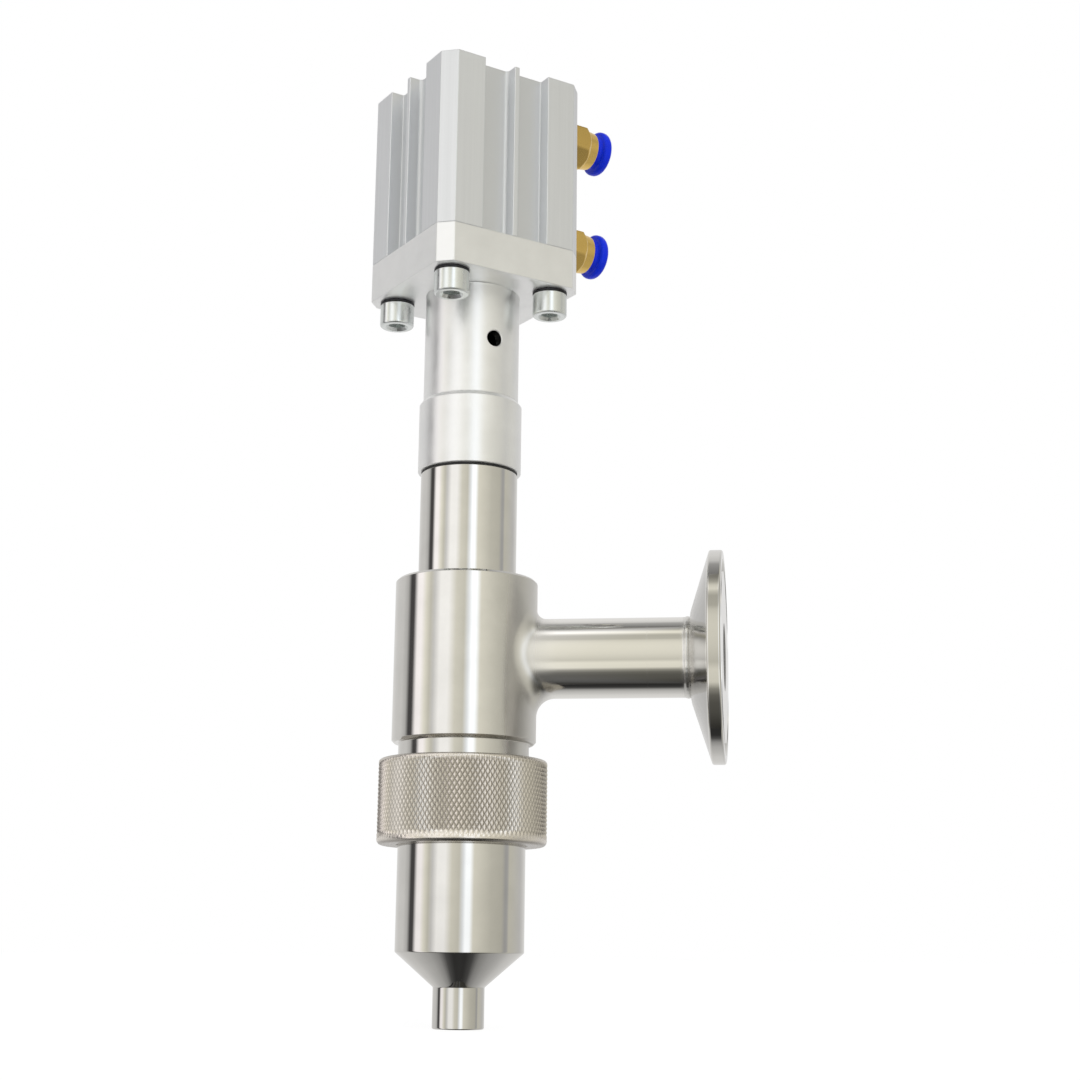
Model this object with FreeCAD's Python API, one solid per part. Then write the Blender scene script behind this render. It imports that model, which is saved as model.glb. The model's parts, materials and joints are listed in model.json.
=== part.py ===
import FreeCAD, Part
import math
import os

# Pneumatic liquid filling nozzle with a positive shut-off valve.
# Millimetres. +Z is up. The origin is the centre of the outlet mouth, the lowest point.
# +X points along the inlet branch. The square cylinder is turned about Z from it.

# Outlet barrel and spout
spout_r = 6.0
spout_bore_r = 4.5
spout_length = 9.35
spout_edge = 0.3
cone_height = 7.8
cone_wall_rise = 1.4
barrel_r = 15.0
flow_bore_r = 12.5
barrel_height = 49.6
barrel_collar_r = 16.1
barrel_collar_height = 4.0
gasket_width = 1.8
gasket_depth = 1.0
joint_gap = 0.3

# Union nut
nut_r = 20.0
nut_length = 20.0
nut_lip = 3.9
nut_edge = 1.4
nut_foot_edge = 2.2
union_thread_r = 17.0
union_thread_length = 10.1
union_thread_edge = 1.0
thread_lead_in = 0.6
neck_r = 15.5
neck_relief = 5.4

# Tee body and inlet branch
tee_r = 17.15
tee_length = 39.3
tee_edge = 0.6
chamber_height = 47.0
branch_rise = 20.3
pipe_r = 9.525
pipe_wall = 1.65
branch_fillet = 3.0
stub_reach = 23.0
ferrule_reach = 62.0
ferrule_length = 9.4
ferrule_r = 25.25
ferrule_rim = 3.1
ferrule_edge = 0.3
ferrule_neck_r = 11.3
ferrule_sweep_rise = 0.35
ferrule_sweep_share = 0.62
ferrule_cone_rise = 18.0
ferrule_groove_r = 21.7
ferrule_groove_depth = 1.4

# Upper barrel, packing and guide
upper_r = 11.83
upper_length = 26.6
upper_bore_r = 8.0
upper_floor = 4.0
lower_spigot_r = 9.5
lower_spigot_length = 8.0
joint_spigot_r = 10.9
joint_spigot_length = 9.0
packing_rings = 3
packing_ring_height = 3.0
packing_vee = 0.8
spacer_bore_gap = 1.0
guide_length = 8.0
guide_head_r = 10.2
guide_head = 1.5
o_ring_r = 0.75

# Coupling ring between the two tubes
ring_r = 12.63
ring_length = 18.0
ring_seal = 0.5
ring_edge = 0.3
ring_chamfer_height = 1.1

# Mounting sleeve with its square flange
sleeve_r = 11.72
sleeve_length = 27.8
sleeve_bore_r = 9.0
flange_thickness = 10.0
flange_web = 3.5
flange_rod_gap = 0.5
weep_hole_r = 2.0
weep_hole_turn = -51.1

# Compact air cylinder
box_side = 40.0
box_chamfer = 3.15
box_turn = 40.2
cylinder_bore_r = 12.5
face_groove_in = 0.7
face_groove_out = 9.1
face_groove_depth = 3.5
face_groove_round = 1.0
face_groove_corner = 0.4
stroke = 15.0
circlip_thickness = 1.2
circlip_depth = 0.9
circlip_width = 2.6
circlip_set_back = 0.6
circlip_eye_turn = 18.0
circlip_eye_wall = 0.5
circlip_opening = 2.4
rod_cover_length = 10.0
rod_cover_relief_r = 10.5
rod_cover_relief = 5.0
rear_cover_length = 2.7
rear_boss_r = 10.0
rear_boss_height = 2.2
piston_length = 11.0
piston_rest = 0.3
piston_recess_r = 7.8
piston_recess = 4.6
piston_seal_width = 3.0
piston_seal_depth = 2.0
piston_seal_edge = 0.4
piston_seal_waist = 0.5
rod_r = 5.0
rod_thread_r = 4.0
rod_thread_proud = 0.3
rod_bush_r = 6.5
rod_bush_length = 6.0
rod_seal_r = 8.0
rod_seal_length = 3.0
rod_seal_lip = 1.8
rod_seal_lip_edge = 0.7
port_from_rear = 6.0
port_from_front = 9.3
port_thread_r = 2.5
port_thread_depth = 4.5
port_passage_r = 1.5
front_port_sink = 1.0
front_port_sink_r = 7.2

# Screws that hold the flange to the cylinder
screw_pitch = 28.0
screw_r = 2.5
screw_tap_r = 2.1
screw_engagement = 9.0
screw_head_r = 4.25
screw_head = 5.6
screw_head_edge = 0.5
screw_socket_flats = 4.0
screw_socket_depth = 2.6
washer_r = 4.3
washer_thickness = 0.7
washer_slit = 0.9

# Stem line
stem_r = 4.0
stem_thread_r = 3.0
stem_thread_length = 6.5
plug_r = 8.0
plug_seat_gap = 0.25
plug_land = 5.0
plug_taper = 6.0
plug_edge = 0.5
plug_nose_set_back = 1.0
plug_seal_height = 3.0
plug_seal_width = 1.6
plug_seal_depth = 1.1
coupling_r = 7.0
coupling_length = 14.0
coupling_flats = 12.0
coupling_flat_length = 5.0
coupling_edge = 0.6
coupling_rise = 1.0
lock_nut_flats = 13.0
lock_nut = 4.0

# Push-in air fittings
hose_r = 3.1
fitting_hex_flats = 11.0
fitting_hex_turn = -9.0
fitting_washer = 0.5
fitting_washer_r = 3.9
fitting_hex_end = 12.2
fitting_hex_edge = 0.5
fitting_hex_shoulder = 1.2
fitting_nose_end = 14.8
fitting_nose_r = 4.9
fitting_cavity_r = 4.4
fitting_passage_r = 1.25
fitting_stop = 4.4
fitting_seal_start = 6.0
fitting_seal_length = 1.8
collet_start = 8.0
collet_length = 3.0
collet_slots = 4
collet_slot = 0.5
collet_lip = 0.5
collet_teeth = 1.0
release_start = 12.2
release_disc_start = 16.3
release_end = 18.8
release_stem_r = 4.1
release_disc_r = 5.85
release_edge = 0.8
release_lead_in = 0.3
release_travel = 1.0

# Clearances: a seated fit, a shaft running in its hole, and a free gap
seat_gap = 0.05
run_gap = 0.08
free_gap = 0.2

# Heights of the faces where the pieces meet, stacked up from the outlet
collar_z = barrel_height - barrel_collar_height
nut_z = collar_z - free_gap - nut_lip
neck_z = barrel_height + joint_gap
tee_z = neck_z + union_thread_length + neck_relief
branch_z = tee_z + branch_rise
upper_z = tee_z + tee_length
seal_z = upper_z + upper_length
ring_z = seal_z + ring_seal
sleeve_z = ring_z + ring_length
flange_z = sleeve_z + sleeve_length
box_z = flange_z + flange_thickness
guide_z = seal_z + joint_spigot_length
sleeve_end_z = guide_z + guide_head
packing_z = upper_z - lower_spigot_length + upper_floor
spacer_z = packing_z + packing_rings * packing_ring_height
front_clip_z = box_z + circlip_set_back
cover_z = front_clip_z + circlip_thickness
cover_top_z = cover_z + rod_cover_length
piston_z = cover_top_z + piston_rest
rear_boss_z = piston_z + piston_length + stroke + free_gap
rear_z = rear_boss_z + rear_boss_height
rear_clip_z = rear_z + rear_cover_length
top_z = rear_clip_z + circlip_thickness + circlip_set_back
box_length = top_z - box_z
rear_port_z = top_z - port_from_rear
front_port_z = box_z + port_from_front
seat_z = spout_length + cone_wall_rise
cone_slope = cone_height / (barrel_r - spout_r)
cone_top_z = spout_length + cone_height
plug_z = seat_z + (plug_r - spout_bore_r) * cone_slope + plug_seat_gap
plug_top_z = plug_z + plug_land + plug_taper
coupling_z = sleeve_z + coupling_rise
lock_nut_z = coupling_z + coupling_length
rod_shoulder_z = lock_nut_z + lock_nut

AXIS = FreeCAD.Vector(0, 0, 1)
ORIGIN = FreeCAD.Vector(0, 0, 0)
ALONG = FreeCAD.Vector(1, 0, 0)


def disc(radius, low, high):
    """Solid round bar on the Z axis."""
    return Part.makeCylinder(radius, high - low, FreeCAD.Vector(0, 0, low))


def ring(outer, inner, low, high):
    """Round bar with a hole through it."""
    return disc(outer, low, high).cut(disc(inner, low - 1, high + 1))


def turned(points):
    """Body of revolution about Z from a closed outline of (radius, height) points."""
    outline = [FreeCAD.Vector(r, 0, z) for r, z in points]
    outline.append(outline[0])
    return Part.Face(Part.makePolygon(outline)).revolve(ORIGIN, AXIS, 360)


def o_ring(centre_r, height, section_r=o_ring_r):
    """Round rubber ring lying flat at a height."""
    return Part.makeTorus(centre_r, section_r, FreeCAD.Vector(0, 0, height))


def hexagon(flats, low, high):
    """Six-sided bar on the Z axis, measured across its flats."""
    corner = flats / math.sqrt(3)
    points = []
    for k in range(7):
        angle = math.radians(60 * k)
        points.append(FreeCAD.Vector(corner * math.cos(angle), corner * math.sin(angle), low))
    return Part.Face(Part.makePolygon(points)).extrude(FreeCAD.Vector(0, 0, high - low))


def nut_blank(flats, low, high):
    """Hexagon bar with its corners turned off at both ends."""
    corner = flats / math.sqrt(3)
    drop = (corner - flats / 2) * math.tan(math.radians(30))
    envelope = turned([(0, low), (flats / 2, low), (corner, low + drop),
                       (corner, high - drop), (flats / 2, high), (0, high)])
    return hexagon(flats, low, high).common(envelope)


def joined(shapes):
    """Fuse shapes and remove the seams between them."""
    whole = shapes[0]
    for shape in shapes[1:]:
        whole = whole.fuse(shape)
    return whole.removeSplitter()


def spun(shape, degrees):
    """Copy of a shape turned about the Z axis."""
    copy = shape.copy()
    copy.rotate(ORIGIN, AXIS, degrees)
    return copy


def lifted(shape, height):
    """Copy of a shape moved up."""
    copy = shape.copy()
    copy.translate(FreeCAD.Vector(0, 0, height))
    return copy


def laid_along_x(shape):
    """Turn a shape built on the Z axis so that it lies along +X."""
    copy = shape.copy()
    copy.rotate(ORIGIN, FreeCAD.Vector(0, 1, 0), 90)
    return copy


def screw_places():
    """Centres of the four flange screws, seen square to the cylinder."""
    half = screw_pitch / 2
    return [(half, half), (-half, half), (-half, -half), (half, -half)]


def square_bar(low, high):
    """Square bar with its four long corners cut at 45 degrees."""
    half = box_side / 2
    cut = half - box_chamfer
    points = [(half, cut), (cut, half), (-cut, half), (-half, cut),
              (-half, -cut), (-cut, -half), (cut, -half), (half, -cut)]
    outline = [FreeCAD.Vector(x, y, low) for x, y in points]
    outline.append(outline[0])
    return Part.Face(Part.makePolygon(outline)).extrude(FreeCAD.Vector(0, 0, high - low))


def face_groove(low, high):
    """One long groove of the extrusion, its floor blended into both walls, more at the rib."""
    half = box_side / 2
    width = face_groove_out - face_groove_in
    tool = Part.makeBox(width, face_groove_depth + 1, high - low,
                        FreeCAD.Vector(face_groove_in, half - face_groove_depth, low))
    for wall, radius in ((face_groove_in, face_groove_round), (face_groove_out, face_groove_corner)):
        corner = FreeCAD.Vector(wall, half - face_groove_depth, (low + high) / 2)
        edges = [edge for edge in tool.Edges if edge.CenterOfMass.distanceToPoint(corner) < seat_gap]
        tool = tool.makeFillet(radius, edges)
    return tool


def cylinder_body():
    """Grooved extrusion with the stepped bore, circlip grooves, ports and tapped corners."""
    body = square_bar(box_z, top_z)
    groove = face_groove(box_z - 1, top_z + 1)
    pair = [groove, groove.mirror(ORIGIN, ALONG)]
    for degrees in (0, 90, 180):
        for tool in pair:
            body = body.cut(spun(tool, degrees))
    body = body.cut(disc(cylinder_bore_r, box_z - 1, top_z + 1))
    groove_r = cylinder_bore_r + circlip_depth
    for low in (front_clip_z, rear_clip_z):
        body = body.cut(disc(groove_r, low, low + circlip_thickness))
    for x, y in screw_places():
        place = FreeCAD.Vector(x, y, box_z - 1)
        body = body.cut(Part.makeCylinder(screw_tap_r, box_length + 2, place))
        body = body.cut(Part.makeCylinder(screw_r + seat_gap, screw_engagement + 2, place))
    half = box_side / 2
    for height, sink in ((front_port_z, front_port_sink), (rear_port_z, 0)):
        depth = port_thread_depth + sink
        mouth = Part.makeCylinder(port_thread_r + seat_gap, depth + 1,
                                  FreeCAD.Vector(half - depth, 0, height), ALONG)
        way = Part.makeCylinder(port_passage_r, half, FreeCAD.Vector(0, 0, height), ALONG)
        body = body.cut(mouth).cut(way)
    spot = FreeCAD.Vector(half - front_port_sink, 0, front_port_z)
    body = body.cut(Part.makeCylinder(front_port_sink_r, front_port_sink + 1, spot, ALONG))
    return spun(body, box_turn)


def circlip(low):
    """Internal circlip: a spring ring with two eyes beside its opening."""
    outer = cylinder_bore_r + circlip_depth - seat_gap
    inner = outer - circlip_width
    high = low + circlip_thickness
    clip = ring(outer, inner, low, high)
    eye_r = circlip_width / 2 + circlip_eye_wall
    reach = inner + circlip_eye_wall
    for side in (-1, 1):
        angle = math.radians(90 + side * circlip_eye_turn)
        place = FreeCAD.Vector(reach * math.cos(angle), reach * math.sin(angle), low)
        clip = clip.fuse(Part.makeCylinder(eye_r, circlip_thickness, place))
    for side in (-1, 1):
        angle = math.radians(90 + side * circlip_eye_turn)
        place = FreeCAD.Vector(reach * math.cos(angle), reach * math.sin(angle), low - 1)
        clip = clip.cut(Part.makeCylinder(eye_r / 2, circlip_thickness + 2, place))
    opening = Part.makeBox(circlip_opening, outer, circlip_thickness + 2,
                           FreeCAD.Vector(-circlip_opening / 2, inner - 2 * eye_r, low - 1))
    return spun(clip.cut(opening).common(disc(outer, low, high)).removeSplitter(), box_turn)


def rod_cover():
    """Front cover: carries the rod bush and seal, necked down where the air comes in."""
    body = disc(cylinder_bore_r - seat_gap, cover_z, cover_top_z)
    relief_z = cover_top_z - rod_cover_relief
    body = body.cut(ring(cylinder_bore_r + 1, rod_cover_relief_r, relief_z, cover_top_z + 1))
    groove_z = cover_seal_z()
    groove_r = cylinder_bore_r - 2 * o_ring_r
    body = body.cut(ring(cylinder_bore_r + 1, groove_r, groove_z - o_ring_r, groove_z + o_ring_r))
    body = body.cut(disc(rod_r + free_gap, cover_z - 1, cover_top_z + 1))
    body = body.cut(disc(rod_bush_r, cover_z - 1, cover_z + rod_bush_length))
    return body.cut(disc(rod_seal_r, cover_top_z - rod_seal_length - free_gap, cover_top_z + 1))


def cover_seal_z():
    """Height of the ring in the wide part of the front cover."""
    return cover_z + (rod_cover_length - rod_cover_relief) / 2


def rear_cover():
    """Rear cover with a boss that stops the piston and keeps the air port clear."""
    body = disc(cylinder_bore_r - seat_gap, rear_z, rear_z + rear_cover_length)
    groove_z = rear_z + rear_cover_length / 2
    groove_r = cylinder_bore_r - 2 * o_ring_r
    groove = ring(cylinder_bore_r + 1, groove_r, groove_z - o_ring_r, groove_z + o_ring_r)
    return joined([body.cut(groove), disc(rear_boss_r, rear_boss_z, rear_z)])


def cover_seal(height):
    """Rubber ring round a cylinder cover."""
    return o_ring(cylinder_bore_r - o_ring_r - seat_gap, height, o_ring_r - seat_gap)


def rod_bush():
    """Plain bearing for the piston rod, pressed into the front cover."""
    return ring(rod_bush_r, rod_r + seat_gap, cover_z, cover_z + rod_bush_length)


def rod_seal():
    """Lip seal round the piston rod."""
    low = cover_top_z - rod_seal_length - free_gap
    inner = rod_r + seat_gap
    middle = (inner + rod_seal_r) / 2
    high = low + rod_seal_length
    return turned([(inner, low), (rod_seal_r, low), (rod_seal_r, high),
                   (rod_seal_r - rod_seal_lip_edge, high), (middle, high - rod_seal_lip),
                   (inner + rod_seal_lip_edge, high), (inner, high)])


def piston():
    """Piston with its seal groove and the recess that hides the nut."""
    body = disc(cylinder_bore_r - run_gap, piston_z, piston_z + piston_length)
    groove_z = piston_seal_z()
    inner = cylinder_bore_r - run_gap - piston_seal_depth
    body = body.cut(ring(cylinder_bore_r + 1, inner, groove_z, groove_z + piston_seal_width))
    top = piston_z + piston_length
    body = body.cut(disc(piston_recess_r, top - piston_recess, top + 1))
    return body.cut(disc(rod_thread_r + seat_gap, piston_z - 1, top))


def piston_seal_z():
    """Lower side of the piston's seal groove."""
    return piston_z + (piston_length - piston_seal_width) / 2


def piston_seal():
    """Double-lip seal in the piston's groove."""
    low = piston_seal_z() + seat_gap
    high = piston_seal_z() + piston_seal_width - seat_gap
    inner = cylinder_bore_r - run_gap - piston_seal_depth + seat_gap
    outer = cylinder_bore_r - seat_gap
    edge = piston_seal_edge
    waist = (low + high) / 2
    return turned([(inner, low), (outer - edge, low), (outer, low + edge), (outer - piston_seal_waist, waist),
                   (outer, high - edge), (outer - edge, high), (inner, high)])


def piston_nut():
    """Thin nut that clamps the piston to the rod."""
    top = piston_z + piston_length
    low = top - piston_recess
    return nut_blank(lock_nut_flats, low, low + lock_nut).cut(disc(rod_thread_r + seat_gap, low - 1, top))


def piston_rod():
    """Rod with a stepped thread at each end."""
    tip = coupling_z + coupling_length - stem_thread_length
    piston_end = piston_z + piston_length - piston_recess + lock_nut + rod_thread_proud
    lower = disc(rod_thread_r, tip, rod_shoulder_z)
    middle = disc(rod_r, rod_shoulder_z, piston_z)
    return joined([lower, middle, disc(rod_thread_r, piston_z, piston_end)])


def rod_lock_nut():
    """Nut that locks the coupling on the rod."""
    blank = nut_blank(lock_nut_flats, lock_nut_z, lock_nut_z + lock_nut)
    return blank.cut(disc(rod_thread_r + seat_gap, lock_nut_z - 1, rod_shoulder_z + 1))


def stem_coupling():
    """Round coupling with two wrench flats that joins the rod to the valve stem."""
    top = coupling_z + coupling_length
    edge = coupling_edge
    body = turned([(0, coupling_z), (coupling_r - edge, coupling_z), (coupling_r, coupling_z + edge),
                   (coupling_r, top - edge), (coupling_r - edge, top), (0, top)])
    body = body.cut(disc(stem_thread_r + seat_gap, coupling_z - 1, coupling_z + stem_thread_length))
    body = body.cut(disc(rod_thread_r + seat_gap, top - stem_thread_length, top + 1))
    low = coupling_z + (coupling_length - coupling_flat_length) / 2
    slab = disc(coupling_r + 1, low, low + coupling_flat_length)
    kept = Part.makeBox(coupling_flats, 2 * coupling_r + 2, coupling_flat_length,
                        FreeCAD.Vector(-coupling_flats / 2, -coupling_r - 1, low))
    return body.cut(slab.cut(kept))


def valve_stem():
    """Long stem from the coupling to the plug, with a thread at each end."""
    lower = disc(stem_thread_r, plug_top_z - stem_thread_length, plug_top_z)
    middle = disc(stem_r, plug_top_z, coupling_z)
    return joined([lower, middle, disc(stem_thread_r, coupling_z, coupling_z + stem_thread_length)])


def plug_seal_z():
    """Middle of the plug's seal groove."""
    return plug_nose_set_back + plug_seal_height


def valve_plug():
    """Plug: nose that fills the spout bore, conical shoulder, and taper up to the stem."""
    nose_r = spout_bore_r - run_gap
    edge = plug_edge
    shoulder_z = seat_z + plug_seat_gap + (nose_r - spout_bore_r) * cone_slope
    body = turned([(0, plug_nose_set_back), (nose_r - edge, plug_nose_set_back),
                   (nose_r, plug_nose_set_back + edge), (nose_r, shoulder_z), (plug_r, plug_z),
                   (plug_r, plug_z + plug_land), (stem_r, plug_top_z), (0, plug_top_z)])
    low = plug_seal_z() - plug_seal_width / 2
    groove = ring(plug_r, nose_r - plug_seal_depth, low, low + plug_seal_width)
    return body.cut(groove).cut(disc(stem_thread_r + seat_gap, plug_top_z - stem_thread_length,
                                     plug_top_z + 1))


def plug_seal():
    """Rubber ring in the plug's nose."""
    inner = spout_bore_r - run_gap - plug_seal_depth + seat_gap
    outer = spout_bore_r - seat_gap
    return o_ring((inner + outer) / 2, plug_seal_z(), (outer - inner) / 2)


def mount_sleeve():
    """Square flange turned down to a tube, with the weep hole and the lower spigot."""
    body = square_bar(flange_z, box_z)
    for x, y in screw_places():
        body = body.cut(Part.makeCylinder(screw_r + free_gap, flange_thickness + 2,
                                          FreeCAD.Vector(x, y, flange_z - 1)))
    body = spun(body, box_turn)
    body = joined([body, disc(sleeve_r, sleeve_z, flange_z), disc(joint_spigot_r, sleeve_end_z, sleeve_z)])
    body = body.cut(disc(sleeve_bore_r, sleeve_end_z - 1, box_z - flange_web))
    body = body.cut(disc(rod_r + flange_rod_gap, box_z - flange_web - 1, box_z + 1))
    middle = FreeCAD.Vector(0, 0, (sleeve_z + flange_z) / 2)
    weep = Part.makeCylinder(weep_hole_r, sleeve_r + 2, middle, ALONG)
    return body.cut(spun(weep, weep_hole_turn))


def flange_screws():
    """Four socket-head cap screws, pushed up through the flange."""
    head_top = flange_z - washer_thickness
    head_low = head_top - screw_head
    edge = screw_head_edge
    head = turned([(0, head_low), (screw_head_r - edge, head_low), (screw_head_r, head_low + edge),
                   (screw_head_r, head_top), (0, head_top)])
    head = head.cut(hexagon(screw_socket_flats, head_low - 1, head_low + screw_socket_depth))
    screw = joined([head, disc(screw_r, head_top, box_z + screw_engagement)])
    return at_screws(screw)


def spring_washers():
    """Four split spring washers under the screw heads."""
    low = flange_z - washer_thickness
    washer = ring(washer_r, screw_r + seat_gap, low, flange_z)
    slit = Part.makeBox(washer_r + 1, washer_slit, washer_thickness + 2,
                        FreeCAD.Vector(0, -washer_slit / 2, low - 1))
    return at_screws(washer.cut(slit))


def at_screws(shape):
    """Copies of a shape at the four screw places, kept as separate solids."""
    copies = []
    for x, y in screw_places():
        copy = shape.copy()
        copy.translate(FreeCAD.Vector(x, y, 0))
        copies.append(copy)
    return spun(Part.makeCompound(copies), box_turn)


def coupling_ring():
    """Threaded ring that joins the sleeve to the upper barrel, chamfered at its top."""
    inner = joint_spigot_r + seat_gap
    return turned([(inner, ring_z), (ring_r - ring_edge, ring_z), (ring_r, ring_z + ring_edge),
                   (ring_r, sleeve_z - ring_chamfer_height), (sleeve_r, sleeve_z), (inner, sleeve_z)])


def coupling_seal():
    """Flat black seal between the ring and the upper barrel's shoulder."""
    return ring(upper_r - seat_gap, joint_spigot_r + seat_gap, seal_z, ring_z)


def upper_barrel():
    """Stainless tube above the tee: packing chamber below, guide seat above."""
    floor_z = upper_z - lower_spigot_length
    body = joined([disc(lower_spigot_r, floor_z, upper_z), disc(upper_r, upper_z, seal_z),
                   disc(joint_spigot_r, seal_z, guide_z)])
    body = body.cut(disc(upper_bore_r, packing_z, guide_z + 1))
    body = body.cut(disc(stem_r + free_gap, floor_z - 1, packing_z + 1))
    return body.cut(spigot_groove())


def spigot_groove():
    """Groove in the lower spigot for its seal."""
    height = spigot_seal_z()
    inner = lower_spigot_r - 2 * o_ring_r + seat_gap
    return ring(upper_r, inner, height - o_ring_r, height + o_ring_r)


def spigot_seal_z():
    """Height of the seal on the lower spigot."""
    return upper_z - lower_spigot_length / 2


def upper_barrel_seal():
    """Rubber ring on the lower spigot."""
    return o_ring(lower_spigot_r - o_ring_r + seat_gap, spigot_seal_z(), o_ring_r - seat_gap)


def stem_packing():
    """Packing rings stacked on the floor of the upper barrel, one above the other."""
    inner = stem_r + seat_gap
    outer = upper_bore_r - seat_gap
    middle = (inner + outer) / 2
    dip = packing_vee
    rings = []
    for k in range(packing_rings):
        low = packing_z + k * packing_ring_height
        high = low + packing_ring_height
        start = low if k == 0 else low + seat_gap
        foot = start if k == 0 else start + dip
        crown = high + dip if k < packing_rings - 1 else high
        rings.append(turned([(inner, start), (middle, foot), (outer, start), (outer, high),
                             (middle, crown), (inner, high)]))
    return Part.makeCompound(rings)


def packing_spacer():
    """Tube that holds the packing down under the guide bush."""
    return ring(upper_bore_r - seat_gap, stem_r + spacer_bore_gap, spacer_z, guide_z - guide_length)


def guide_bush():
    """Headed bush that guides the valve stem."""
    body = joined([disc(upper_bore_r - seat_gap, guide_z - guide_length, guide_z),
                   disc(guide_head_r, guide_z, sleeve_end_z)])
    return body.cut(disc(stem_r + seat_gap, guide_z - guide_length - 1, sleeve_end_z + 1))


def tee_body():
    """Turned tee: flow chamber, male union thread below, and the pulled branch outlet."""
    top = upper_z
    edge = union_thread_edge
    shell = turned([(0, neck_z), (union_thread_r - edge, neck_z), (union_thread_r, neck_z + edge),
                    (union_thread_r, neck_z + union_thread_length - edge),
                    (neck_r, neck_z + union_thread_length), (neck_r, tee_z),
                    (tee_r - tee_edge, tee_z), (tee_r, tee_z + tee_edge), (tee_r, top - tee_edge),
                    (tee_r - tee_edge, top), (0, top)])
    branch_start = FreeCAD.Vector(0, 0, branch_z)
    body = shell.fuse(Part.makeCylinder(pipe_r, stub_reach, branch_start, ALONG)).removeSplitter()
    body = body.makeFillet(branch_fillet, saddle_edges(body))
    body = body.cut(disc(flow_bore_r, neck_z - 1, neck_z + chamber_height - free_gap))
    body = body.cut(disc(lower_spigot_r + seat_gap, neck_z, top + 1))
    return body.cut(Part.makeCylinder(pipe_r - pipe_wall, stub_reach + 1, branch_start, ALONG))


def saddle_edges(body):
    """Edges where the branch meets the round tee."""
    found = []
    for edge in body.Edges:
        box = edge.BoundBox
        inside = box.XMax < stub_reach - 1 and box.XMin > neck_r / 2
        level = box.ZMin > branch_z - pipe_r - 1 and box.ZMax < branch_z + pipe_r + 1
        if inside and level and box.ZLength > 1:
            found.append(edge)
    return found


def inlet_pipe():
    """Plain tube from the tee to the ferrule."""
    length = ferrule_reach - ferrule_length - stub_reach
    return lifted(laid_along_x(ring(pipe_r, pipe_r - pipe_wall, stub_reach, stub_reach + length)), branch_z)


def inlet_ferrule():
    """Clamp ferrule: neck swept out to a conical back, flat face with a gasket groove."""
    start = ferrule_reach - ferrule_length
    rim = ferrule_reach - ferrule_rim
    rise = math.tan(math.radians(ferrule_cone_rise))
    cone_start = rim - (ferrule_r - ferrule_neck_r) * rise
    bore = pipe_r - pipe_wall
    neck_low = FreeCAD.Vector(pipe_r, 0, start)
    neck_high = FreeCAD.Vector(ferrule_neck_r, 0, cone_start)
    bend = FreeCAD.Vector(pipe_r + ferrule_sweep_rise, 0, start + (cone_start - start) * ferrule_sweep_share)
    sweep = Part.Arc(neck_low, bend, neck_high).toShape()
    rest = Part.makePolygon([neck_high, FreeCAD.Vector(ferrule_r, 0, rim),
                             FreeCAD.Vector(ferrule_r, 0, ferrule_reach - ferrule_edge),
                             FreeCAD.Vector(ferrule_r - ferrule_edge, 0, ferrule_reach),
                             FreeCAD.Vector(bore, 0, ferrule_reach),
                             FreeCAD.Vector(bore, 0, start), neck_low])
    body = Part.Face(Part.Wire([sweep] + rest.Edges)).revolve(ORIGIN, AXIS, 360)
    body = body.cut(Part.makeTorus(ferrule_groove_r, ferrule_groove_depth,
                                   FreeCAD.Vector(0, 0, ferrule_reach)))
    return lifted(laid_along_x(body), branch_z)


def union_nut():
    """Hand nut: inner thread above, lip below that carries the barrel's collar."""
    low = nut_z
    high = nut_z + nut_length
    bore = union_thread_r + run_gap
    lip_r = barrel_r + 2 * free_gap
    lead = thread_lead_in
    blank = turned([(0, low), (nut_r, low), (nut_r, high), (0, high)])
    rims = [edge for edge in blank.Edges if len(edge.Vertexes) == 1]
    blank = blank.makeFillet(nut_edge, [rim for rim in rims if rim.CenterOfMass.z > low])
    rims = [edge for edge in blank.Edges if len(edge.Vertexes) == 1]
    blank = blank.makeFillet(nut_foot_edge, [rim for rim in rims if rim.CenterOfMass.z < low + nut_lip / 2])
    core = turned([(0, low - 1), (lip_r, low - 1), (lip_r, low + nut_lip), (bore, low + nut_lip),
                   (bore, high - lead), (bore + lead, high), (bore + lead, high + 1), (0, high + 1)])
    return blank.cut(core)


def outlet_barrel():
    """Barrel with its collar, cone and spout, bored to the seat."""
    edge = spout_edge
    outside = [(spout_bore_r, 0), (spout_r - edge, 0), (spout_r, edge), (spout_r, spout_length),
               (barrel_r, cone_top_z), (barrel_r, collar_z), (barrel_collar_r, collar_z),
               (barrel_collar_r, barrel_height)]
    bore_cone_z = seat_z + (flow_bore_r - spout_bore_r) * cone_slope
    inside = [(flow_bore_r, barrel_height), (flow_bore_r, bore_cone_z), (spout_bore_r, seat_z)]
    body = turned(outside + inside)
    inner = gasket_inner_r()
    return body.cut(ring(inner + gasket_width, inner, barrel_height - gasket_depth, barrel_height + 1))


def gasket_inner_r():
    """Inner radius of the gasket groove, centred in the barrel's wall."""
    return (flow_bore_r + barrel_collar_r - gasket_width) / 2


def barrel_gasket():
    """Flat gasket in the top of the barrel."""
    inner = gasket_inner_r()
    return ring(inner + gasket_width - seat_gap, inner + seat_gap, barrel_height - gasket_depth,
                barrel_height + joint_gap / 2)


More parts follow.
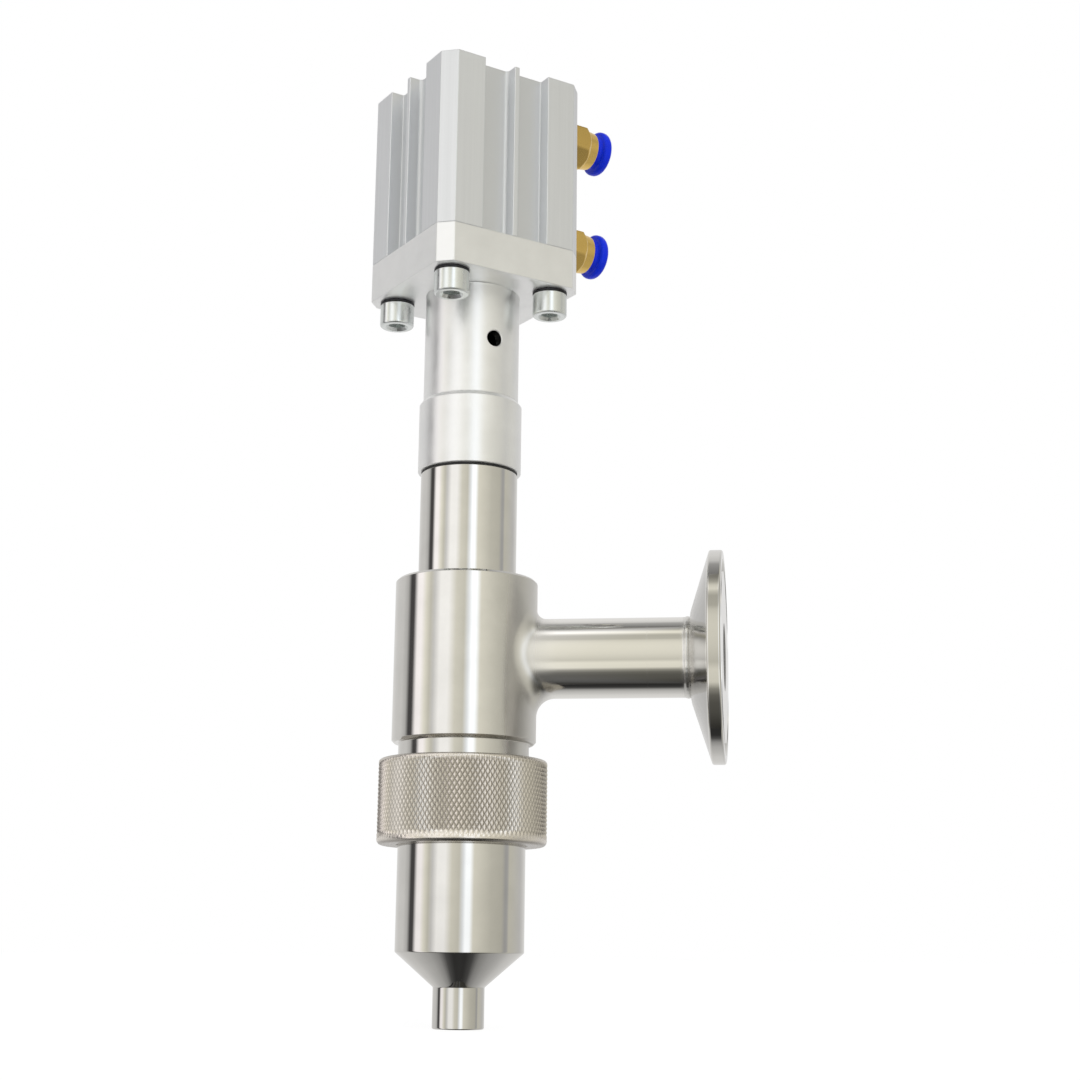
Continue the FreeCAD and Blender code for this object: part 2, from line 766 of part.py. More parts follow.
def fitting_body():
    """Brass push-in fitting along Z: stub, hexagon, round nose and stepped bore."""
    flats = fitting_hex_flats
    corner = flats / math.sqrt(3)
    hex_low = fitting_washer
    envelope = turned([(0, hex_low), (flats / 2, hex_low), (corner, hex_low + fitting_hex_edge),
                       (corner, fitting_hex_end - fitting_hex_shoulder), (flats / 2, fitting_hex_end),
                       (fitting_nose_r, fitting_nose_end), (0, fitting_nose_end)])
    body = spun(hexagon(flats, hex_low, fitting_nose_end), fitting_hex_turn).common(envelope)
    stub = disc(port_thread_r, hex_low - port_thread_depth + free_gap, hex_low + 1)
    body = joined([body, stub])
    body = body.cut(disc(fitting_passage_r, -port_thread_depth - 1, fitting_nose_end))
    body = body.cut(disc(hose_r, fitting_stop, fitting_nose_end))
    return body.cut(disc(fitting_cavity_r, fitting_seal_start, fitting_nose_end + 1))


def fitting_washer_ring():
    """Sealing washer between the fitting and the cylinder's face."""
    return ring(fitting_washer_r, port_thread_r + seat_gap, 0, fitting_washer)


def hose_seal():
    """Ring that seals on the hose."""
    high = fitting_seal_start + fitting_seal_length
    return ring(fitting_cavity_r - seat_gap, hose_r + seat_gap, fitting_seal_start, high)


def collet():
    """Slotted gripping collet with inward teeth."""
    low = collet_start
    high = low + collet_length
    outer = fitting_cavity_r - seat_gap
    inner = hose_r + collet_lip
    body = turned([(inner, low), (outer, low), (outer, high), (hose_r + seat_gap, high),
                   (inner, high - collet_teeth)])
    for k in range(collet_slots):
        slot = Part.makeBox(outer + 1, collet_slot, collet_length,
                            FreeCAD.Vector(0, -collet_slot / 2, low + collet_teeth))
        body = body.cut(spun(slot, 360.0 * k / collet_slots))
    return body


def release_collar():
    """Blue release collar: tube that reaches the collet, with a rounded push disc."""
    disc_r = release_disc_r
    edge = release_edge
    return turned([(hose_r, release_start), (release_stem_r, release_start),
                   (release_stem_r, release_disc_start), (disc_r - edge, release_disc_start),
                   (disc_r, release_disc_start + edge), (disc_r, release_end - edge),
                   (disc_r - edge, release_end), (hose_r + release_lead_in, release_end),
                   (hose_r, release_end - release_lead_in)])


def at_port(shape, height, sink):
    """Put a fitting piece on the cylinder's port face, or as deep in it as its spot face is sunk."""
    copy = laid_along_x(shape)
    copy.translate(FreeCAD.Vector(box_side / 2 - sink, 0, height))
    return spun(copy, box_turn)


def fitting_nodes():
    """Pieces of the two push-in fittings, by name."""
    nodes = {}
    pieces = {"fitting_body": fitting_body(), "fitting_washer": fitting_washer_ring(),
              "hose_seal": hose_seal(), "collet": collet(), "release_collar": release_collar()}
    for place, height, sink in (("upper", rear_port_z, 0), ("lower", front_port_z, front_port_sink)):
        for name, shape in pieces.items():
            nodes[place + "_" + name] = at_port(shape, height, sink)
    return nodes


def all_nodes():
    """Every piece of the nozzle, by name."""
    nodes = {
        "cylinder_body": cylinder_body(),
        "rear_cover": rear_cover(),
        "rear_cover_seal": cover_seal(rear_z + rear_cover_length / 2),
        "rear_circlip": circlip(rear_clip_z),
        "rod_cover": rod_cover(),
        "rod_cover_seal": cover_seal(cover_seal_z()),
        "front_circlip": circlip(front_clip_z),
        "rod_bush": rod_bush(),
        "rod_seal": rod_seal(),
        "piston": piston(),
        "piston_seal": piston_seal(),
        "piston_nut": piston_nut(),
        "piston_rod": piston_rod(),
        "rod_lock_nut": rod_lock_nut(),
        "stem_coupling": stem_coupling(),
        "valve_stem": valve_stem(),
        "valve_plug": valve_plug(),
        "plug_seal": plug_seal(),
        "mount_sleeve": mount_sleeve(),
        "flange_screws": flange_screws(),
        "spring_washers": spring_washers(),
        "coupling_ring": coupling_ring(),
        "coupling_seal": coupling_seal(),
        "upper_barrel": upper_barrel(),
        "upper_barrel_seal": upper_barrel_seal(),
        "stem_packing": stem_packing(),
        "packing_spacer": packing_spacer(),
        "guide_bush": guide_bush(),
        "tee_body": tee_body(),
        "inlet_pipe": inlet_pipe(),
        "inlet_ferrule": inlet_ferrule(),
        "union_nut": union_nut(),
        "outlet_barrel": outlet_barrel(),
        "barrel_gasket": barrel_gasket(),
    }
    nodes.update(fitting_nodes())
    return nodes


def main():
    """Write one file for each piece."""
    os.makedirs("parts", exist_ok=True)
    for name, shape in all_nodes().items():
        shape.exportStep("parts/" + name + ".step")


main()
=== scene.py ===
import json
import math

import bmesh
import bpy
import numpy as np
from mathutils import Matrix, Vector
from mathutils.geometry import tessellate_polygon


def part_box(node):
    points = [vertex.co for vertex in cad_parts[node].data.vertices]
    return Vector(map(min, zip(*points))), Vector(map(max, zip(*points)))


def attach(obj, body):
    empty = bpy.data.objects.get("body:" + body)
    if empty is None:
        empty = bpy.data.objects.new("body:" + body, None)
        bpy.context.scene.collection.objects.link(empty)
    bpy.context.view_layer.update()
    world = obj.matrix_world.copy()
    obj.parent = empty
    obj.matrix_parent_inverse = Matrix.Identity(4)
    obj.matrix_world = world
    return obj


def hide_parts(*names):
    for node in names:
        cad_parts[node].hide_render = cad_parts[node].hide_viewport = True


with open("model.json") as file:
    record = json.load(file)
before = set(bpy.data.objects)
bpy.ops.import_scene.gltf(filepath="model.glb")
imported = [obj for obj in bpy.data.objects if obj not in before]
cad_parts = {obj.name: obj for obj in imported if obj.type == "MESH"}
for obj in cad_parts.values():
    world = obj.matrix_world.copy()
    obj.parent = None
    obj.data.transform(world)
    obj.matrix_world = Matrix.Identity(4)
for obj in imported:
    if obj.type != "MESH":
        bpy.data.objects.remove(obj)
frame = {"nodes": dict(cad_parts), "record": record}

bl_info = {
    "name": "Liquid filling nozzle",
    "version": (1, 0, 0),
    "blender": (4, 5, 0),
    "location": "View3D > Sidebar > Nozzle",
    "description": "Builds the surfaces and finishes of a liquid filling nozzle round its fixed frame",
    "category": "Add Mesh",
}

MM = 0.001
# Lengths closer than this in millimetres are the same; edges sharper than this in degrees stay sharp
NEAR = 1e-6
SHARP_ANGLE = 38.0
BODY_OF = {node: body for body, nodes in frame["record"]["behaviour"]["bodies"].items() for node in nodes}
SLOT_OF = {part["node"]: part["material_slot"] for part in frame["record"]["subparts"]}
# Finishes of their own: the sleeve's has painted shade in its bore, the pipe's and the ferrule's painted
# light and shade along the branch
OWN_FINISH = {"inlet_pipe": "polished_pipe", "inlet_ferrule": "polished_ferrule",
              "mount_sleeve": "aluminium_painted_bore_shade"}
FINISHES = {}

# Radii and thicknesses in millimetres, turns in degrees; heights along the axis come from the frame
SPOUT_R = 6.0
SPOUT_BORE_R = 4.5
SPOUT_LENGTH = 9.35
CONE_HEIGHT = 7.8
SEAT_HEIGHT = 10.75
BARREL_R = 15.0
CONE_SLOPE = CONE_HEIGHT / (BARREL_R - SPOUT_R)
FLOW_BORE_R = 12.5
COLLAR_R = 16.1
COLLAR_HEIGHT = 4.0
NUT_R = 20.0
NUT_EDGE = 1.4
NUT_FOOT_EDGE = 2.2
NUT_LIP = 3.9
NUT_LIP_R = 15.4
NUT_MOUTH = 0.6
KNURL_CELLS = 6
KNURL_MARGIN = 0.35
KNURL_START = 0.8
KNURL_FADE = 2.2
KNURL_GROOVE_SHARE = 0.92
KNURL_DARK = 0.34
KNURL_BRIGHT = 0.06
THREAD_R = 17.0
THREAD_LENGTH = 10.1
THREAD_GAP = 0.08
THREAD_FADE = 1.2
NECK_R = 15.5
NECK_RELIEF = 5.4
TEE_R = 17.15
TEE_EDGE = 0.6
TEE_ROOF = 8.0
SPIGOT_HOLE_R = 9.55
PIPE_R = 9.525
PIPE_BORE_R = 7.875
BRANCH_FILLET = 3.6
BRANCH_FILLET_FALL = 0.9
BRANCH_FILLET_SIDE = 5.4
BRANCH_RISE = 20.3
TEE_PORT_HALF = 15.0
TEE_BORE_HALF = 8.8
TEE_PORT_TURN = 45.0
TEE_PORT_CLEAR = 1.5
TEE_PORT_ROWS = 25
PORT_TURNS = 160
UPPER_R = 11.83
UPPER_BORE_R = 8.0
UPPER_FLOOR = 4.0
LOWER_SPIGOT_R = 9.5
JOINT_SPIGOT_R = 10.9
JOINT_GAP = 0.05
RING_R = 12.63
RING_CHAMFER = 1.1
SLEEVE_R = 11.72
SLEEVE_BORE_R = 9.0
FLANGE_THICKNESS = 10.0
FLANGE_WEB = 3.5
ROD_HOLE_R = 5.5
WEEP_HOLE_R = 2.0
WEEP_HOLE_TURN = -51.1
WEEP_CHAMFER = 0.18
WEEP_HALF = 2.8
WEEP_PORT_TURN = 13.5
WEEP_CLEAR = 0.8
WEEP_ROWS = 9
BOX_HALF = 20.0
BOX_CHAMFER = 3.15
BOX_EDGE = 0.35
FLANGE_EDGE = 0.2
CYLINDER_EDGE = 0.18
BORE_EDGE = 0.3
SCREW_PLAY = 0.2
COVER_NECK_R = 10.0
COVER_STEP = 2.2
MARK_R = 1.4
MARK_DEPTH = 0.9
BOX_TURN = 40.2
CYLINDER_BORE_R = 12.5
CIRCLIP_DEPTH = 0.9
CIRCLIP_THICKNESS = 1.2
CIRCLIP_SET_BACK = 0.6
GROOVE_IN = 0.7
GROOVE_OUT = 9.1
GROOVE_DEPTH = 3.5
SCREW_REACH = 14.0
SCREW_R = 2.5
TAPPED_R = 2.1
SCREW_HEAD_R = 4.25
SCREW_HEAD = 5.6
SOCKET_FLATS = 4.0
SOCKET_DEPTH = 2.6
SOCKET_RIM_R = 2.85
WASHER_R = 4.3
WASHER_SLIT = 0.9
FERRULE_R = 25.25
FERRULE_RIM = 3.1
FERRULE_NECK_R = 11.3
FERRULE_BACK_TURN = 18.0
WELD_WIDTH = 1.7
WELD_HEIGHT = 0.20
WELD_RIPPLE = 0.05
WELD_RIPPLES = 44
WELD_TURNS = 224
GASKET_GROOVE_R = 21.7
GASKET_GROOVE_DEPTH = 1.4
HEX_FLATS = 11.0
HEX_TURN = -9.0
HEX_START = 0.5
HEX_END = 12.2
HEX_LOW_CHAMFER = 0.6
HEX_HIGH_CHAMFER = 1.2
NOSE_END = 14.8
NOSE_R = 4.9
FITTING_CAVITY_R = 4.4
FITTING_SEAL_START = 6.0
HOSE_R = 3.1
COLLAR_START = 12.2
DISC_START = 16.3
DISC_END = 18.8
DISC_R = 5.85
COLLAR_STEM_R = 4.1
PORT_FROM_REAR = 6.0
PORT_FROM_FRONT = 9.3
PORT_R = 2.55
PORT_DEPTH = 4.5
FRONT_PORT_SINK = 1.0
FRONT_PORT_SINK_R = 7.2
PLUG_R = 8.0
PLUG_LIFT = 0.25
PLUG_LENGTH = 5.0
PLUG_GROOVE_START = 2.2
PLUG_GROOVE_END = 3.8
PLUG_GROOVE_DEPTH = 1.1
STEM_R = 4.0
RUNNING_GAP = 0.08

# The photograph's viewpoint: place in millimetres, angles in degrees, lens in millimetres
CAMERA_PLACE = (77.00, -419.45, 16.98)
CAMERA_PAN = 8.040
CAMERA_PITCH = 13.014
CAMERA_ROLL = 0.66
CAMERA_LENS = 59.747
SENSOR_WIDTH = 36.0
CAMERA_SIDE = -79.6

# Soft studio round the object: level that polished steel shows, by degrees round from the camera to the right
STUDIO_ROUND = (
    (-180, 0.62, "neutral"), (-140, 0.53, "neutral"), (-120, 0.52, "neutral"), (-108, 0.40, "neutral"),
    (-100, 0.055, "rose"), (-92, 0.055, "rose"), (-84, 0.84, "rose"), (-76, 0.86, "rose"),
    (-67, 0.64, "warm"), (-59, 0.47, "warm"), (-52, 0.52, "neutral"), (-42, 0.82, "neutral"),
    (-28, 0.82, "neutral"), (-16, 0.56, "warm"), (-3, 0.49, "warm"), (4, 0.72, "cool"), (9, 1.02, "cool"),
    (16, 1.0, "cool"), (23, 0.60, "warm"), (38, 0.52, "warm"), (55, 0.43, "warm"), (78, 0.39, "warm"),
    (86, 0.31, "neutral"), (91, 0.33, "neutral"), (96, 0.45, "warm"), (132, 0.44, "neutral"),
    (150, 0.54, "neutral"), (180, 0.62, "neutral"),
)
# Share of that level by degrees above the horizon, on the camera's side and behind the object
RISE_FRONT = (
    (-90, 0.04), (-69, 0.12), (-58, 0.14), (-50, 0.20), (-43, 0.42), (-36, 1.06), (-23, 1.12), (-15, 0.84),
    (-6, 0.95), (2, 1.03), (12, 1.08), (24, 1.10), (34, 1.06), (41, 0.94), (46, 0.70), (58, 0.66),
    (63, 0.90), (67, 1.22), (72, 1.05), (77, 0.62), (84, 0.36), (90, 0.30),
)
RISE_BEHIND = (
    (-90, 0.04), (-81, 0.045), (-76, 0.12), (-70, 0.44), (-62, 0.64), (-40, 0.90), (0, 1.0), (50, 1.0),
    (64, 0.86), (72, 0.50), (80, 0.40), (90, 0.30),
)
STUDIO_GAIN = 1.32
# Share of the brushed look by millimetres along the branch: polished, weld, polished, weld and ferrule
BRUSHED = (
    (0.0, 0.0), (7.0, 0.0), (13.0, 0.8), (16.0, 1.0), (19.0, 0.55), (23.0, 0.14), (30.0, 0.0), (43.9, 0.0),
    (44.3, 0.35), (44.7, 0.0), (51.6, 0.0), (52.4, 0.5), (54.2, 0.5), (56.5, 0.25), (58.5, 0.1), (62.0, 0.0),
)
BRUSHED_REACH = 62.0
BRUSHED_ROUGH = 0.32
# Painted light on the pipe and painted shade on the ferrule's back: (share at both ends, start, end) along
# the branch, and factors
BRANCH_LIGHT_AND_SHADE = (((0.0, 1.0), 13.0, 22.0), ((0.0, 1.0), 53.6, 55.6), ((1.0, 0.0), 58.5, 58.8))
BRANCH_PAINTED_LIFT = 1.15
BRANCH_CONE_SHADE = 0.66
# Painted shade in the branch's bore, then the bore's roughness and share of metal
BRANCH_BORE_SHADE = 0.5
BRANCH_BORE_ROUGH = 0.5
BRANCH_BORE_METAL = 0.2
TINTS = {
    "neutral": (1.0, 0.99, 0.98),
    "rose": (1.0, 0.96, 0.97),
    "cool": (0.96, 0.99, 1.03),
    "warm": (1.03, 1.0, 0.88),
}
TINT_TOP = 1.03
# Factors of the finishes' own colours, with painted light and shade in some of them
KNURL_TINT = (1.03, 0.985, 0.94)
# Painted shade in the knurl's grooves; the crests' lighter tone is partly worn polish and partly painted
# highlight
KNURL_GROOVE_SHADE = 0.58
KNURL_CREST_TONE = 1.14
# Painted shade on the ferrule, which takes back most of the pipe's painted lift
FERRULE_SHADE = 0.86
# The last extrusion factor is painted shade in the grooves
EXTRUSION_TONES = (0.975, 1.015, 0.93, 0.88)
# Colours that have no setting
ZINC = (0.84, 0.87, 0.86)
DARK_STEEL = (0.05, 0.05, 0.055)
CHROME = (0.80, 0.80, 0.82)
BLACK_RUBBER = (0.018, 0.018, 0.018)
WHITE_PLASTIC = (0.80, 0.80, 0.78)
# Stage: wall and floor in millimetres, lamp in metres, light as a strength
STUDIO_R = 1600.0
STUDIO_CENTRE = 120.0
FLOOR_HALF = 6000.0
FLOOR_COLOUR = (0.86, 0.86, 0.86, 1)
FLOOR_GLOW = 1.16
FLOOR_GLOW_SHARE = 0.75
LAMP_PLACE = (0.25, -0.75, 0.75)
LAMP_AIM = (0, 0, 0.12)
LAMP_SIZE = 0.5


def low_of(node):
    """Lowest height of a node at rest, in millimetres."""
    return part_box(node)[0][2] / MM


def high_of(node):
    """Highest height of a node at rest, in millimetres."""
    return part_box(node)[1][2] / MM


class NozzleSizes(bpy.types.PropertyGroup):
    """Sizes of the fine forms that the frame leaves smooth."""
    knurl_count: bpy.props.IntProperty(
        name="Knurl diamonds", description="Diamonds once round the union nut", default=106, min=60, max=140)
    knurl_height: bpy.props.FloatProperty(
        name="Knurl diamond height", description="Height of one diamond", default=1.94 * MM, unit="LENGTH")
    knurl_depth: bpy.props.FloatProperty(
        name="Knurl depth", description="Depth of the knurl's grooves", default=0.36 * MM, unit="LENGTH")
    thread_pitch: bpy.props.FloatProperty(
        name="Union pitch", description="Pitch of the union thread", default=2.0 * MM, unit="LENGTH")
    thread_depth: bpy.props.FloatProperty(
        name="Union thread depth", description="Depth of the union thread", default=0.8 * MM, unit="LENGTH")
    soft_edge: bpy.props.FloatProperty(
        name="Broken edge", description="Radius of a machined edge", default=0.25 * MM, unit="LENGTH")


class NozzleColours(bpy.types.PropertyGroup):
    """Base colours of the metals and the release collars."""
    extrusion: bpy.props.FloatVectorProperty(
        name="Anodised aluminium", description="Colour of the extruded cylinder", default=(0.84, 0.855, 0.87),
        subtype="COLOR")
    turned: bpy.props.FloatVectorProperty(
        name="Turned aluminium", description="Colour of the sleeve and the ring", default=(0.96, 0.965, 0.96),
        subtype="COLOR")
    steel: bpy.props.FloatVectorProperty(
        name="Stainless steel", description="Colour of the polished steel", default=(0.76, 0.75, 0.72),
        subtype="COLOR")
    brass: bpy.props.FloatVectorProperty(
        name="Brass", description="Colour of the air fittings", default=(0.90, 0.62, 0.19), subtype="COLOR")
    blue: bpy.props.FloatVectorProperty(
        name="Release collar", description="Colour of the push-in collars", default=(0.0, 0.028, 0.86),
        subtype="COLOR")


class NozzleStudio(bpy.types.PropertyGroup):
    """Light level round the object."""
    level: bpy.props.FloatProperty(
        name="Light level", description="Level of the soft light on matt surfaces", default=0.62, min=0.0,
        max=2.0)
    key: bpy.props.FloatProperty(
        name="Lamp", description="Power of the soft lamp in front", default=2.2, unit="POWER", min=0.0,
        max=50.0)


class Skin:
    """Collects the points and faces of one closed surface, in millimetres."""

    def __init__(self):
        self.points = []
        self.quads = []
        self.triangles = []
        self.count = 0

    def add(self, points):
        """Add an array of points and return their numbers in the same layout."""
        points = np.asarray(points, float)
        number = int(np.prod(points.shape[:-1]))
        index = np.arange(self.count, self.count + number).reshape(points.shape[:-1])
        self.points.append(points.reshape(-1, 3))
        self.count += number
        return index

    def weave(self, index, closed=True, keep=None):
        """Quads between neighbouring rows of a grid, where keep is true. A closed grid joins its last column
        to its first."""
        ends = np.roll(index, -1, axis=1)
        quads = np.stack([index[:-1], ends[:-1], ends[1:], index[1:]], axis=-1)
        if not closed:
            quads = quads[:, :-1]
        self.quads.append(quads.reshape(-1, 4) if keep is None else quads[keep])

    def fan(self, loop, centre):
        """Triangles from a closed row of points to one middle point."""
        middle = self.add([centre])[0]
        self.triangles.append(np.stack([loop, np.roll(loop, -1), np.full(len(loop), middle)], axis=-1))

    def cap(self, index, first, last):
        """Fans that close the first and the last row of a turned grid on the axis, at two heights."""
        self.fan(index[0][::-1], (0, 0, first))
        self.fan(index[-1], (0, 0, last))

    def fill(self, loops):
        """Flat face inside the first closed row of points and outside the others."""
        points = np.concatenate(self.points)
        corners = tessellate_polygon([[Vector(p) for p in points[loop]] for loop in loops])
        triangles = np.concatenate(loops)[np.array(corners)]
        a, b, c = (points[triangles[:, k]] for k in range(3))
        flips = np.cross(b - a, c - a)[:, 2] < 0
        triangles[flips] = triangles[flips][:, ::-1]
        self.triangles.append(triangles)


def gathered(faces, corners):
    """Faces as one array of whole numbers, empty where there are none."""
    return np.concatenate(faces) if faces else np.zeros((0, corners), int)


def consistent(mesh):
    """Make neighbouring faces agree, with the faces outwards."""
    work = bmesh.new()
    work.from_mesh(mesh)
    bmesh.ops.recalc_face_normals(work, faces=work.faces)
    work.to_mesh(mesh)
    work.free()


def make_piece(name, skin, node, sharp=SHARP_ANGLE, filled=False):
    """Turn a skin into a mesh object that stands for a node, wears its finish and moves with its body. Its
    volume, the sum of p0.(p1 x p2)/6 over its triangles, is made positive, so that faces point outwards."""
    points = np.concatenate(skin.points) * MM
    quads, triangles = gathered(skin.quads, 4), gathered(skin.triangles, 3)
    mesh = bpy.data.meshes.new(name)
    mesh.vertices.add(len(points))
    mesh.vertices.foreach_set("co", points.ravel())
    halves = np.concatenate([quads[:, [0, 1, 2]], quads[:, [0, 2, 3]], triangles])
    a, b, c = (points[halves[:, k]] for k in range(3))
    if not filled and np.einsum("ij,ij->i", a, np.cross(b, c)).sum() < 0:
        quads, triangles = quads[:, ::-1], triangles[:, ::-1]
    corners = np.concatenate([quads.ravel(), triangles.ravel()])
    starts = np.concatenate([np.arange(len(quads)) * 4, len(quads) * 4 + np.arange(len(triangles)) * 3])
    mesh.loops.add(len(corners))
    mesh.loops.foreach_set("vertex_index", corners)
    mesh.polygons.add(len(starts))
    mesh.polygons.foreach_set("loop_start", starts)
    mesh.update(calc_edges=True)
    if mesh.validate():
        raise RuntimeError(name + " has broken faces")
    if filled:
        consistent(mesh)
    mesh.shade_smooth()
    mesh.set_sharp_from_angle(angle=math.radians(sharp))
    piece = bpy.data.objects.new(name, mesh)
    bpy.context.scene.collection.objects.link(piece)
    mesh.materials.append(finish_of(node))
    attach(piece, BODY_OF[node])
    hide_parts(node)
    return piece


def rounded(outline, closed=False, support=0.12, step=13.0):
    """Outline of (first, second, radius) corners as points. A corner of radius r that turns by t becomes an
    arc of tangent length r tan(t/2), with a support point a little before and after it."""
    corners = [np.array(corner[:2], float) for corner in outline]
    radii = [corner[2] if len(corner) > 2 else 0.0 for corner in outline]
    points = []
    last = len(corners) - 1
    for k, (corner, radius) in enumerate(zip(corners, radii)):
        if radius <= 0 or (not closed and k in (0, last)):
            points.append(corner)
            continue
        before = corners[k - 1] - corner
        after = corners[(k + 1) % len(corners)] - corner
        room = 0.48 * min(np.linalg.norm(before), np.linalg.norm(after))
        before /= np.linalg.norm(before)
        after /= np.linalg.norm(after)
        half = math.acos(max(-1.0, min(1.0, float(before @ after)))) / 2
        if half > math.radians(89.5):
            points.append(corner)
            continue
        reach = min(radius / math.tan(half), room)
        radius = reach * math.tan(half)
        middle = before + after
        centre = corner + middle / np.linalg.norm(middle) * radius / math.sin(half)
        start = corner + before * reach - centre
        sweep = math.pi - 2 * half
        side = 1.0 if float(np.cross(before, after)) < 0 else -1.0
        steps = max(2, int(round(math.degrees(sweep) / step)))
        angles = side * np.linspace(0, sweep, steps + 1)
        cosines, sines = np.cos(angles), np.sin(angles)
        arc = np.stack([start[0] * cosines - start[1] * sines, start[0] * sines + start[1] * cosines], -1)
        lead = min(support, reach * 0.5 + 0.02, room * 0.04 + 0.03)
        points.append(corner + before * (reach + lead))
        points.extend(arc + centre)
        points.append(corner + after * (reach + lead))
    return np.array(points)


def around(turns, start=0.0):
    """Angles of evenly spaced columns once round, in radians."""
    return math.radians(start) + np.arange(turns) * 2 * math.pi / turns


def rings(r, z, theta):
    """Points (r cos t, r sin t, z) for rows of radii and heights and each angle t."""
    r = r + 0 * theta
    return np.stack([r * np.cos(theta), r * np.sin(theta), z + 0 * r], axis=-1)


def swept(profile, theta, relief=0.0):
    """Surface of revolution about Z from (radius, height) rows, with the radius raised by relief."""
    return rings(profile[:, 0, None] + relief, profile[:, 1, None], theta)


def lathe(profile, turns=128, relief=0.0):
    """Skin of a turned body. A profile that starts and ends on the axis is closed there by a fan at each
    end; any other profile is a ring, and its last row joins its first."""
    skin = Skin()
    if profile[0, 0] < NEAR:
        index = skin.add(swept(profile[1:-1], around(turns), relief))
        skin.weave(index)
        skin.cap(index, profile[0, 1], profile[-1, 1])
    else:
        index = skin.add(swept(profile, around(turns), relief))
        skin.weave(np.concatenate([index, index[:1]]))
    return skin


def turned_piece(name, node, outline, turns=128, closed=True):
    """Piece turned from an outline of (radius, height, corner radius)."""
    make_piece(name, lathe(rounded(outline, closed=closed), turns), node)


def turned_along(skin, height=0.0, reach=0.0, turn=0.0):
    """Lay a skin made about Z along a level axis: (x, y, z) goes to (z, y, -x), moved out, turned and
    lifted."""
    cosine, sine = math.cos(math.radians(turn)), math.sin(math.radians(turn))
    moved = []
    for points in skin.points:
        x, y, z = points[:, 2] + reach, points[:, 1], -points[:, 0]
        moved.append(np.stack([cosine * x - sine * y, sine * x + cosine * y, z + height], -1))
    skin.points = moved
    return skin


def hexagon_radius(theta, flats, corner=0.0):
    """Radius of a hexagon at angle t: (flats/2)/cos(u), where u runs from -30 to 30 degrees on each side."""
    turn = np.mod(theta - math.radians(corner), math.radians(60)) - math.radians(30)
    return flats / 2 / np.cos(turn)


def triangle_wave(x):
    """Rises from 0 to 1 and falls back once in each whole step of x."""
    return 1 - 2 * np.abs(np.mod(x, 1.0) - 0.5)


class Nodes:
    """A node tree, with short ways to add nodes and join them."""

    def __init__(self, tree):
        self.tree = tree

    def add(self, kind, settings=None, **inputs):
        """Add a node, set its own settings, and set or link its inputs by name."""
        node = self.tree.nodes.new(kind)
        for key, value in (settings or {}).items():
            setattr(node, key, value)
        for key, value in inputs.items():
            self.feed(node, key.replace("_", " "), value)
        return node

    def feed(self, node, key, value):
        """Set an input, or link it where the value is another node's output."""
        if isinstance(value, bpy.types.NodeSocket):
            self.tree.links.new(value, node.inputs[key])
        else:
            node.inputs[key].default_value = value

    def place(self, stretch=(1, 1, 1), turn=0.0, shift=(0, 0, 0)):
        """Object coordinates, turned about Z, then stretched and shifted."""
        where = self.add("ShaderNodeTexCoord").outputs["Object"]
        spin = self.add("ShaderNodeMapping", Vector=where, Rotation=(0, 0, math.radians(turn))).outputs[0]
        return self.add("ShaderNodeMapping", Vector=spin, Scale=stretch, Location=shift).outputs[0]

    def noise(self, vector, scale, detail=3.0, roughness=0.55):
        """Smooth noise from 0 to 1."""
        return self.add("ShaderNodeTexNoise", Vector=vector, Scale=scale, Detail=detail,
                        Roughness=roughness).outputs[0]

    def between(self, value, low, high, start=0.3, end=0.7):
        """Map a value from its own range to low and high."""
        node = self.add("ShaderNodeMapRange", Value=value)
        for key, number in (("From Min", start), ("From Max", end), ("To Min", low), ("To Max", high)):
            self.feed(node, key, number)
        return node.outputs[0]

    def blend(self, amount, first, second, kind="MIX"):
        """Two colours mixed or multiplied by an amount."""
        node = self.add("ShaderNodeMix", {"data_type": "RGBA", "blend_type": kind})
        self.feed(node, 0, amount)
        for slot, value in ((6, first), (7, second)):
            self.feed(node, slot, value if isinstance(value, bpy.types.NodeSocket) else (*value, 1.0))
        return node.outputs[2]

    def reckon(self, operation, first, second=0.0):
        """Result of one operation on two values."""
        node = self.add("ShaderNodeMath", {"operation": operation})
        self.feed(node, 0, first)
        self.feed(node, 1, second)
        return node.outputs[0]

    def length(self, vector):
        """Length of a vector."""
        return self.add("ShaderNodeVectorMath", {"operation": "LENGTH"}, Vector=vector).outputs["Value"]

    def split(self, vector):
        """The three parts of a vector."""
        return self.add("ShaderNodeSeparateXYZ", Vector=vector).outputs

    def ramp(self, stops, value):
        """Colour ramp through (place from 0 to 1, colour) stops."""
        node = self.tree.nodes.new("ShaderNodeValToRGB")
        self.feed(node, 0, value)
        band = node.color_ramp
        for place, _ in stops[1:-1]:
            band.elements.new(place)
        for element, (place, colour) in zip(band.elements, stops):
            element.position = place
            element.color = (*colour, 1.0)
        return node.outputs[0]

    def bump(self, height, strength, distance=0.05 * MM, normal=None):
        """Normal from a height."""
        node = self.add("ShaderNodeBump", Height=height, Strength=strength, Distance=distance)
        if normal is not None:
            self.feed(node, "Normal", normal)
        return node.outputs[0]


class Finish(Nodes):
    """One material."""

    def __init__(self, name):
        self.material = bpy.data.materials.new(name)
        self.material.use_nodes = True
        super().__init__(self.material.node_tree)
        self.shader = self.tree.nodes["Principled BSDF"]
        self.output = self.tree.nodes["Material Output"]

    def surface(self, **inputs):
        """Set or link the shader's inputs."""
        for key, value in inputs.items():
            self.feed(self.shader, key.replace("_", " "), value)


def shade(colour, factor):
    """A colour made darker or lighter."""
    return tuple(min(1.0, part * factor) for part in colour)


